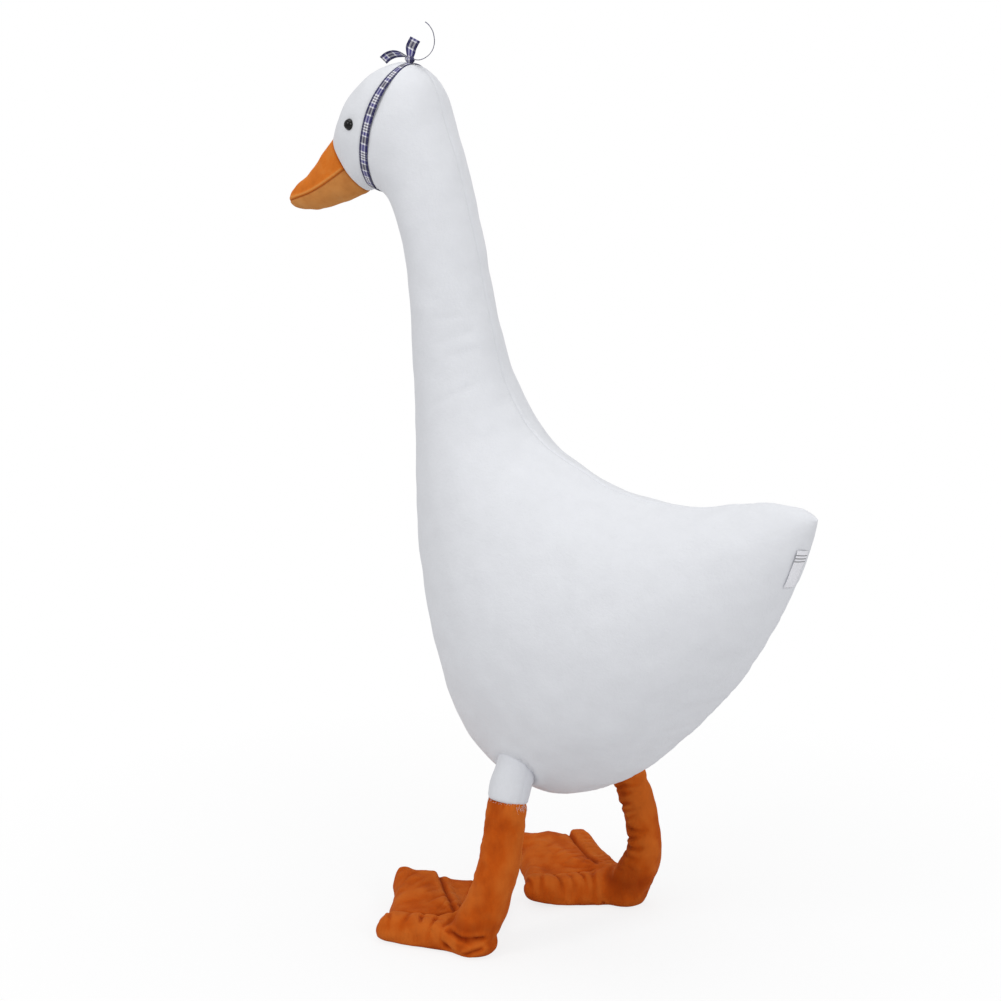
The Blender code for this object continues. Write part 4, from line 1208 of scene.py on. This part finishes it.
def foot_reach(toes, heel_direction, d):
    """Distance from the ankle to the foot's outline in these directions."""
    lean = np.radians(d - heel_direction)
    best = HEEL_SHIFT * np.cos(lean) + np.sqrt(SOFT_HEEL**2 - (HEEL_SHIFT * np.sin(lean)) ** 2)
    for direction, length, _, root, _ in toes:
        turn = np.radians(d - direction)
        centre = length - TOE_TIP_RADIUS
        aside = np.abs(centre * np.sin(turn))
        inside = (np.cos(turn) > 0) & (aside < TOE_TIP_RADIUS)
        cap = centre * np.cos(turn) + np.sqrt(np.maximum(TOE_TIP_RADIUS**2 - aside**2, 0))
        best = np.where(inside, np.maximum(best, cap), best)
        slope = (root - TOE_TIP_RADIUS) / centre
        wide = root / np.maximum(np.abs(np.sin(turn)) + slope * np.cos(turn), 1e-6)
        beside = (np.cos(turn) > 0) & (wide * np.cos(turn) <= centre)
        best = np.where(beside, np.maximum(best, wide), best)
    order = sorted(toes)
    for one, two in zip(order[:-1], order[1:]):
        near = (one[1] - TOE_TIP_RADIUS) * WEB_REACH
        far = (two[1] - TOE_TIP_RADIUS) * WEB_REACH
        between = (d > one[0]) & (d < two[0])
        whole = math.sin(math.radians(two[0] - one[0]))
        part = near * np.sin(np.radians(d - one[0])) + far * np.sin(np.radians(two[0] - d))
        web = near * far * whole / np.where(between, part, 1)
        best = np.where(between, np.maximum(best, web), best)
    return best


def toe_places(toe, x, y):
    """How far points lie along a toe, to its side, and from its middle line."""
    direction, length, _, root, _ = toe
    turn = math.radians(direction)
    forward = x * math.cos(turn) + y * math.sin(turn)
    side = y * math.cos(turn) - x * math.sin(turn)
    beyond = forward - np.clip(forward, 0, length - TOE_TIP_RADIUS)
    share = clamp(forward / (length - TOE_TIP_RADIUS))
    radius = root + (TOE_TIP_RADIUS - root) * share
    return forward, side, np.hypot(beyond, side), share, radius


def foot_form(toes, webs, x, y, inside):
    """Height of the padded top and lift off the floor."""
    away = np.hypot(x, y)
    facing = math.radians(toes[1][0] + 180)
    heel_x, heel_y = HEEL_SHIFT * math.cos(facing), HEEL_SHIFT * math.sin(facing)
    heel = np.hypot(x - heel_x, y - heel_y) / SOFT_HEEL
    ridges = [FOOT_SEAM_Z + (SOFT_HEEL_HEIGHT - FOOT_SEAM_Z) * np.sqrt(clamp(1 - heel**2))]
    weights, lifts = [], []
    for toe in toes:
        forward, _, gap, share, radius = toe_places(toe, x, y)
        top = toe[4] + (TOE_TIP_HEIGHT - toe[4]) * share
        round_it = np.sqrt(clamp(1 - (gap / radius) ** 2))
        ridges.append(FOOT_SEAM_Z + (top - FOOT_SEAM_Z) * round_it)
        cosine = np.where(away > 1e-6, forward / np.maximum(away, 1e-6), 0)
        part = np.clip(away / toe[1] - LIFT_START, 0, None) / (1 - LIFT_START)
        weights.append(np.maximum(cosine, 0) ** TOE_FOCUS)
        lifts.append(toe[2] * np.minimum(part, 1) ** 2)
    direction = np.degrees(np.arctan2(y, x)) % 360
    soft = np.sqrt(1 - (1 - clamp(inside / SOFT_EDGE)) ** 2)
    for one, two, (start, end, first, final) in zip(toes[:-1], toes[1:], webs):
        share = np.clip((direction - one[0]) / (two[0] - one[0]), -0.1, 1.1)
        between = bell(np.clip(np.abs(share - 0.5) - 0.5, 0, None), 0.15)
        change = clamp((share - first) / (final - first))
        flat = (start + (end - start) * change - FOOT_SEAM_Z) * between
        ridges.append(FOOT_SEAM_Z + flat * soft)
    ridges = np.array(ridges)
    largest = ridges.max(axis=0)
    blend = np.log(np.exp((ridges - largest) / FOOT_BLEND).sum(axis=0))
    height = largest + blend * FOOT_BLEND
    height = FOOT_SEAM_Z + (height - FOOT_SEAM_Z) * np.sqrt(clamp(inside / 5))
    weights, lifts = np.array(weights), np.array(lifts)
    total = np.maximum(weights.sum(axis=0), 1e-9)
    lift = (weights * lifts).sum(axis=0) / total * np.minimum(1, 2 * weights.max(axis=0))
    return height, lift


def foot_grid(toes, webs):
    """Rings of points over the top of a foot, out to its edge and back under the sole."""
    fine = np.arange(0, 360, 0.25)
    reach = foot_reach(toes, toes[1][0] + 180, fine)
    kernel = bell(np.arange(-24, 25), 11.0)
    kernel /= kernel.sum()
    reach = np.convolve(np.concatenate([reach[-24:], reach, reach[:24]]), kernel, "valid")
    dense = np.stack([reach * np.cos(np.radians(fine)), reach * np.sin(np.radians(fine))], 1)
    ring = np.vstack([dense, dense[:1]])
    far = along_line(ring)
    steps = np.linspace(0, far[-1], FOOT_POINTS + 1)[:-1]
    outline = np.stack([np.interp(steps, far, ring[:, k]) for k in (0, 1)], 1)
    share = 1 - np.linspace(1, 0, FOOT_STEPS) ** 1.7
    plan = outline[None] * share[:, None, None]
    inside = nearest(plan, ring)
    inside[-1] = 0
    x, y = plan[:, :, 0], plan[:, :, 1]
    height, lift = foot_form(toes, webs, x, y, inside)
    under = np.sqrt(1 - (1 - clamp(inside / SOFT_SOLE)) ** 2)
    bottom = lift + FOOT_SEAM_Z * (1 - under)
    crown = np.maximum(lift + height, bottom + 0.5)
    crown[-1] = lift[-1] + FOOT_SEAM_Z
    over = np.dstack([x, y, crown])
    below = np.dstack([x, y, bottom])[:-1][::-1]
    return np.concatenate([over[1:], below[:-1]], axis=0), ring


def foot_creases(toes, grooves, tucks, x, y, upward, seed):
    """Stitched lines beside the toes, cross creases on them and a few over the webs."""
    total = np.zeros(x.shape)
    away = np.hypot(x, y)
    for number, (toe, (plus, minus)) in enumerate(zip(toes, grooves)):
        forward, side, gap, _, radius = toe_places(toe, x, y)
        ahead = clamp((forward - 22) / 18) * clamp((toe[1] - 2 - forward) / 6)
        for sign, size in ((1, plus), (-1, minus)):
            total += 3.6 * size * ahead * bell(side * sign - radius + 0.5, 2.4)
            total -= 1.2 * size * ahead * bell(side * sign - radius + 6.5, 3.5)
        on_toe = clamp((forward - 16) / 14) * clamp(1.35 - gap / radius)
        lines = gathers(forward, side, seed + number, 14.0, 2.4, 17.0)
        total += TOE_CREASES[number] * (lines - 0.22) * on_toe
    for tuck in tucks:
        gap = nearest(np.stack([x, y], -1), np.linspace(*tuck, 60))
        total += 3.2 * bell(gap, 2.6) - 0.9 * bell(gap - 6.0, 3.5)
    direction = np.degrees(np.arctan2(y, x)) % 360
    fan = gathers(direction, away - 48, seed + 9, 16.0, 2.6, 20.0)
    total += 1.2 * fan * clamp((toes[0][0] + 4 - direction) / 4)
    return total * upward


def leg_skin(side_name, rows, foot):
    """Sleeve and foot as one closed skin, swollen as cloth and made finer."""
    leg = leg_surface(rows, SLEEVE_TOP, len(rows) - 1, 3.0, 40)[0]
    obj = mesh_from("lower_leg_velvet_" + side_name, *closed_tubes((leg, foot)))
    with_modifier(obj, "REMESH", mode="VOXEL", voxel_size=LOWER_VOXEL * MM, use_smooth_shade=True)
    with_modifier(obj, "CORRECTIVE_SMOOTH", factor=0.5, iterations=6, use_only_smooth=True)
    height = points_of(obj.data)[:, 2] / MM - SHIFT[2]
    held = np.clip(1.3 - height / 6, 0, 0.97)
    held = np.maximum(held, bell(height - rows[THIGH_STEPS][2], 8.0) * 0.97)
    swell(obj, held, LEG_CAP)
    with_modifier(obj, "SUBSURF", levels=2, render_levels=2)
    return obj


def leg_places(points, rows):
    """Each point's distance from the leg's line, the leg's radius there, the turn round the line,
    and the distance down the leg, also as a share of its length."""
    line, side, other, far = leg_frames(rows, SLEEVE_TOP, len(rows) - 1, 260)
    index = np.zeros(len(points), int)
    best = np.full(len(points), 1e9)
    for start in range(0, len(line), 20):
        gap = np.linalg.norm(points[:, None] - line[None, start : start + 20, :3], axis=2)
        near = gap.min(axis=1)
        index = np.where(near < best, gap.argmin(axis=1) + start, index)
        best = np.minimum(near, best)
    offset = points - line[index, :3]
    turn = np.arctan2((offset * other[index]).sum(axis=1), (offset * side[index]).sum(axis=1))
    return best, line[index, 3], turn, far[index], far[index] / far[-1]


def build_lower_leg(side_name, rows, ankle, seed, toes, webs, grooves, tucks, heel_tucks,
                    bend_turn, bend_size, seam_turn):
    """Velvet sleeve and foot as one stuffed skin: swollen as cloth, then creased and seamed."""
    rows = [(*row[:3], row[3] - 0.6 + more) for row, more in zip(rows, SLEEVE_WIDER)]
    foot, ring = foot_grid(toes, webs)
    obj = leg_skin(side_name, rows, foot + (*ankle, 0))
    points = points_of(obj.data) / MM - SHIFT
    normals = read(obj.data.vertex_normals, "vector", len(points))

    best, radius, turn, length, share = leg_places(points, rows)
    on_leg = clamp((points[:, 2] - 34) / 14) * clamp((34 - best) / 5)
    arc = arc_from(turn, bend_turn)
    depth = 0.7 * lumps(points, 42, seed) + 0.3 * lumps(points, 16, seed + 1)
    ruffles = gathers(length, arc, seed + 2, 9.5, 2.3, 26.0)
    depth -= bend_size * (ruffles - 0.25) * on_leg * bell(share - 0.40, 0.42) * bell(arc, 30)
    depth -= 0.8 * gathers(length, arc - 18, seed + 3, 21.0, 3.2, 24.0) * on_leg
    depth -= 0.9 * gathers(arc_from_join(turn), length - 2.0, seed + 4, 7.0, 1.5, 7.0) * on_leg
    seam = np.abs(arc_from(turn, seam_turn))
    depth += (-1.0 * bell(seam, 1.0) + 0.6 * bell(seam - 2.8, 1.6)) * on_leg
    # Painted shade in the leg's seam and a painted highlight beside it
    painted_shading = (0.5 * bell(seam, 0.9) - 0.35 * bell(seam - 2.6, 1.4)) * on_leg
    # Where the leg is sewn to the foot
    joint = bell(best - radius - 1.5, 3.0) * bell(points[:, 2] - 30, 12) * (share > 0.7)
    depth -= 1.4 * joint
    x, y = points[:, 0] - ankle[0], points[:, 1] - ankle[1]
    upward = clamp(normals[:, 2] * 1.6 + 1.0) * (1 - on_leg)
    depth -= foot_creases(toes, grooves, tucks, x, y, upward, seed + 20)
    heel_fold = np.zeros(len(points))
    for tuck in heel_tucks:
        gap = nearest(points, through(tuck, 40))
        heel_fold += bell(gap, 2.4)
        depth += 0.8 * bell(gap - 5.0, 3.0)
    depth -= 2.4 * heel_fold
    # The stitched edge of the foot, with small gathers above it
    inside = nearest(np.stack([x, y], 1), ring)
    edge_height = bell(inside, 4.0) * clamp(1 - np.abs(normals[:, 2]) * 1.2) * (1 - on_leg)
    edge = np.arctan2(y, x) * np.hypot(x, y)
    depth -= 0.35 * gathers(edge, inside, seed + 40, 12.0, 2.4, 12.0) * edge_height
    standing = clamp((points[:, 2] - 0.3) / 3.0)
    points = points + normals * (depth * standing)[:, None]
    points[:, 2] = np.maximum(points[:, 2], 0.0)
    # Painted shade in creases and a painted highlight on bulges; painted shade also where the leg
    # meets the foot and in the heel tucks
    painted_depth_shading = np.clip(-0.34 * np.clip(depth, -4, 1) - 0.10, -0.35, 0.9)
    obj.data.vertices.foreach_set("co", ((points + SHIFT) * MM).ravel())
    keep_painted_shading(obj.data, painted_shading + painted_depth_shading + 0.35 * joint + 0.3 * heel_fold)
    obj.data.shade_smooth()
    obj.data.update()
    obj.vertex_groups.clear()
    parts = ("shank_", "leg_stuffing_", "foot_top_", "foot_sole_", "foot_stuffing_")
    finish_piece(obj, [velvet], [part + side_name for part in parts])


# ---- care label ----
LABEL_ROWS, LABEL_COLUMNS = 24, 14
LABEL_THICK = 0.5


def build_label():
    """Folded tape that lies on the body beside the tail seam and lifts toward its free edge."""
    top = np.zeros((LABEL_ROWS, LABEL_COLUMNS, 3))
    bottom = np.zeros_like(top)
    for i, at in enumerate(np.linspace(*LABEL_SLICES, LABEL_ROWS)):
        angle = LABEL_ANGLE
        seam = body_point(at + 0.05, 0) - body_point(at - 0.05, 0)
        for j in range(LABEL_COLUMNS):
            ground, out = body_point(at, angle), body_normal(at, angle)
            lift = 0.4 + 0.9 * (j / (LABEL_COLUMNS - 1)) ** 1.5 + 0.25 * math.sin(i * 0.45)
            top[i, j] = ground + out * (lift + LABEL_THICK)
            bottom[i, j] = ground + out * lift
            inward = unit(np.cross(seam, out))
            if inward[0] > 0:
                inward = -inward
            at, angle = body_step(at, angle, inward * LABEL_WIDTH / (LABEL_COLUMNS - 1))
    loop = np.concatenate([top, bottom[:, ::-1]], axis=1)
    share = np.linspace(0, 1, LABEL_COLUMNS)
    across = np.concatenate([share, share[::-1]])
    uv = weave_places(across, np.linspace(0, TAPE_REPEATS, LABEL_ROWS))
    obj = tube_object("label_tape_piece", loop, uv=uv)
    finish_piece(obj, [tape], ["care_label"])


build_body()
build_beak()
build_eyes()
build_ribbon()
build_thigh("left", LEFT_LEG, math.radians(20), 41)
build_thigh("right", RIGHT_LEG, 0, 61)
build_lower_leg("left", LEFT_LEG, LEFT_ANKLE, 81, **LEFT_FOOT)
build_lower_leg("right", RIGHT_LEG, RIGHT_ANKLE, 121, **RIGHT_FOOT)
build_fluff(LEFT_LEG, 7)
build_label()

for name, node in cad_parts.items():
    if name.startswith("eye_washer"):
        node.data.materials.clear()
        node.data.materials.append(tape_material("washer_" + name))

# ---- floor, light and camera ----
TARGET = Vector((0.0, 0.0, 0.439)) + Vector(SHIFT * MM)
AZIMUTH, ELEVATION, DISTANCE = math.radians(35), math.radians(13), 2.4
FOCAL_PIXELS, IMAGE_PIXELS, SENSOR = 2400, 1001, 36.0
FLOOR_EDGE = 60.0
# The floor's colour as it lights the goose, and as the camera sees it in the goose's shadow
FLOOR_LIT, FLOOR_SEEN = (0.72, 0.72, 0.73), (0.86, 0.86, 0.87)
SHADOW_SHARE, SHADOW_FADE = 0.22, 1.4
WORLD_LIGHT, WORLD_SEEN = 0.62, 0.38
# Name, place, height it aims at, size and power
LAMPS = (
    ("key", (-0.8, -2.3, 2.3), 0.5, 0.8, 21),
    ("fill", (2.4, -1.0, 1.5), 0.5, 0.8, 16),
    ("top", (0.1, 0.2, 2.6), 0.4, 1.8, 14),
)


def build_floor():
    """Floor that the camera sees as plain white, with a faint shadow near the goose."""
    mesh = bpy.data.meshes.new("floor")
    corners = [(x * FLOOR_EDGE, y * FLOOR_EDGE, 0) for x, y in ((-1, -1), (1, -1), (1, 1), (-1, 1))]
    mesh.from_pydata(corners, [], [(0, 1, 2, 3)])
    floor = placed("floor", mesh)
    made = bpy.data.materials.new("floor_pale")
    made.use_nodes = True
    made.node_tree.nodes.clear()
    nodes = Nodes(made.node_tree)
    seen = nodes.add("LightPath", {}).outputs["Is Camera Ray"]
    far = nodes.add("VectorMath", {0: nodes.place()}, operation="LENGTH").outputs["Value"]
    far = nodes.math("MULTIPLY", far, SHADOW_FADE)
    shadow = nodes.math("MULTIPLY", nodes.math("SUBTRACT", 1.0, far, clamped=True), SHADOW_SHARE)
    shadow, lit = nodes.math("MULTIPLY", seen, shadow), nodes.math("SUBTRACT", 1.0, seen)
    looks = nodes.add("MixShader", {
        0: nodes.math("ADD", shadow, lit, clamped=True),
        1: nodes.add("Emission", {}).outputs[0],
        2: nodes.add("BsdfDiffuse", {0: nodes.mix(seen, FLOOR_LIT, FLOOR_SEEN)}).outputs[0],
    })
    nodes.add("OutputMaterial", {0: looks.outputs[0]})
    mesh.materials.append(made)


def build_world():
    """White surroundings, which light the goose less than they look."""
    world = bpy.data.worlds.new("studio")
    bpy.context.scene.world = world
    world.use_nodes = True
    nodes = Nodes(world.node_tree)
    path = nodes.add("LightPath", {}).outputs
    seen = nodes.math("MAXIMUM", path["Is Camera Ray"], path["Is Transmission Ray"])
    strength = nodes.math("MULTIPLY_ADD", seen, WORLD_SEEN, WORLD_LIGHT)
    nodes.fill(world.node_tree.nodes["Background"], {"Color": (1, 1, 1), "Strength": strength})


def build_lamps():
    for name, place, aim, size, power in LAMPS:
        data = bpy.data.lights.new(name, "AREA")
        data.shape = "RECTANGLE"
        data.size = data.size_y = size
        data.energy = power
        lamp = placed(name, data)
        lamp.location = place
        away = Vector((0, 0, aim)) - Vector(place)
        lamp.rotation_euler = away.to_track_quat("-Z", "Y").to_euler()


def build_camera():
    data = bpy.data.cameras.new("camera")
    data.sensor_width = SENSOR
    data.lens = FOCAL_PIXELS / IMAGE_PIXELS * SENSOR
    data.clip_end = 200
    camera = placed("camera", data)
    level = math.cos(ELEVATION)
    back = Vector((math.sin(AZIMUTH) * level, -math.cos(AZIMUTH) * level, math.sin(ELEVATION)))
    camera.location = TARGET + back * DISTANCE
    camera.rotation_euler = (-back).to_track_quat("-Z", "Y").to_euler()
    bpy.context.scene.camera = camera


build_floor()
build_world()
build_lamps()
build_camera()
bpy.context.scene.view_settings.view_transform = "Standard"
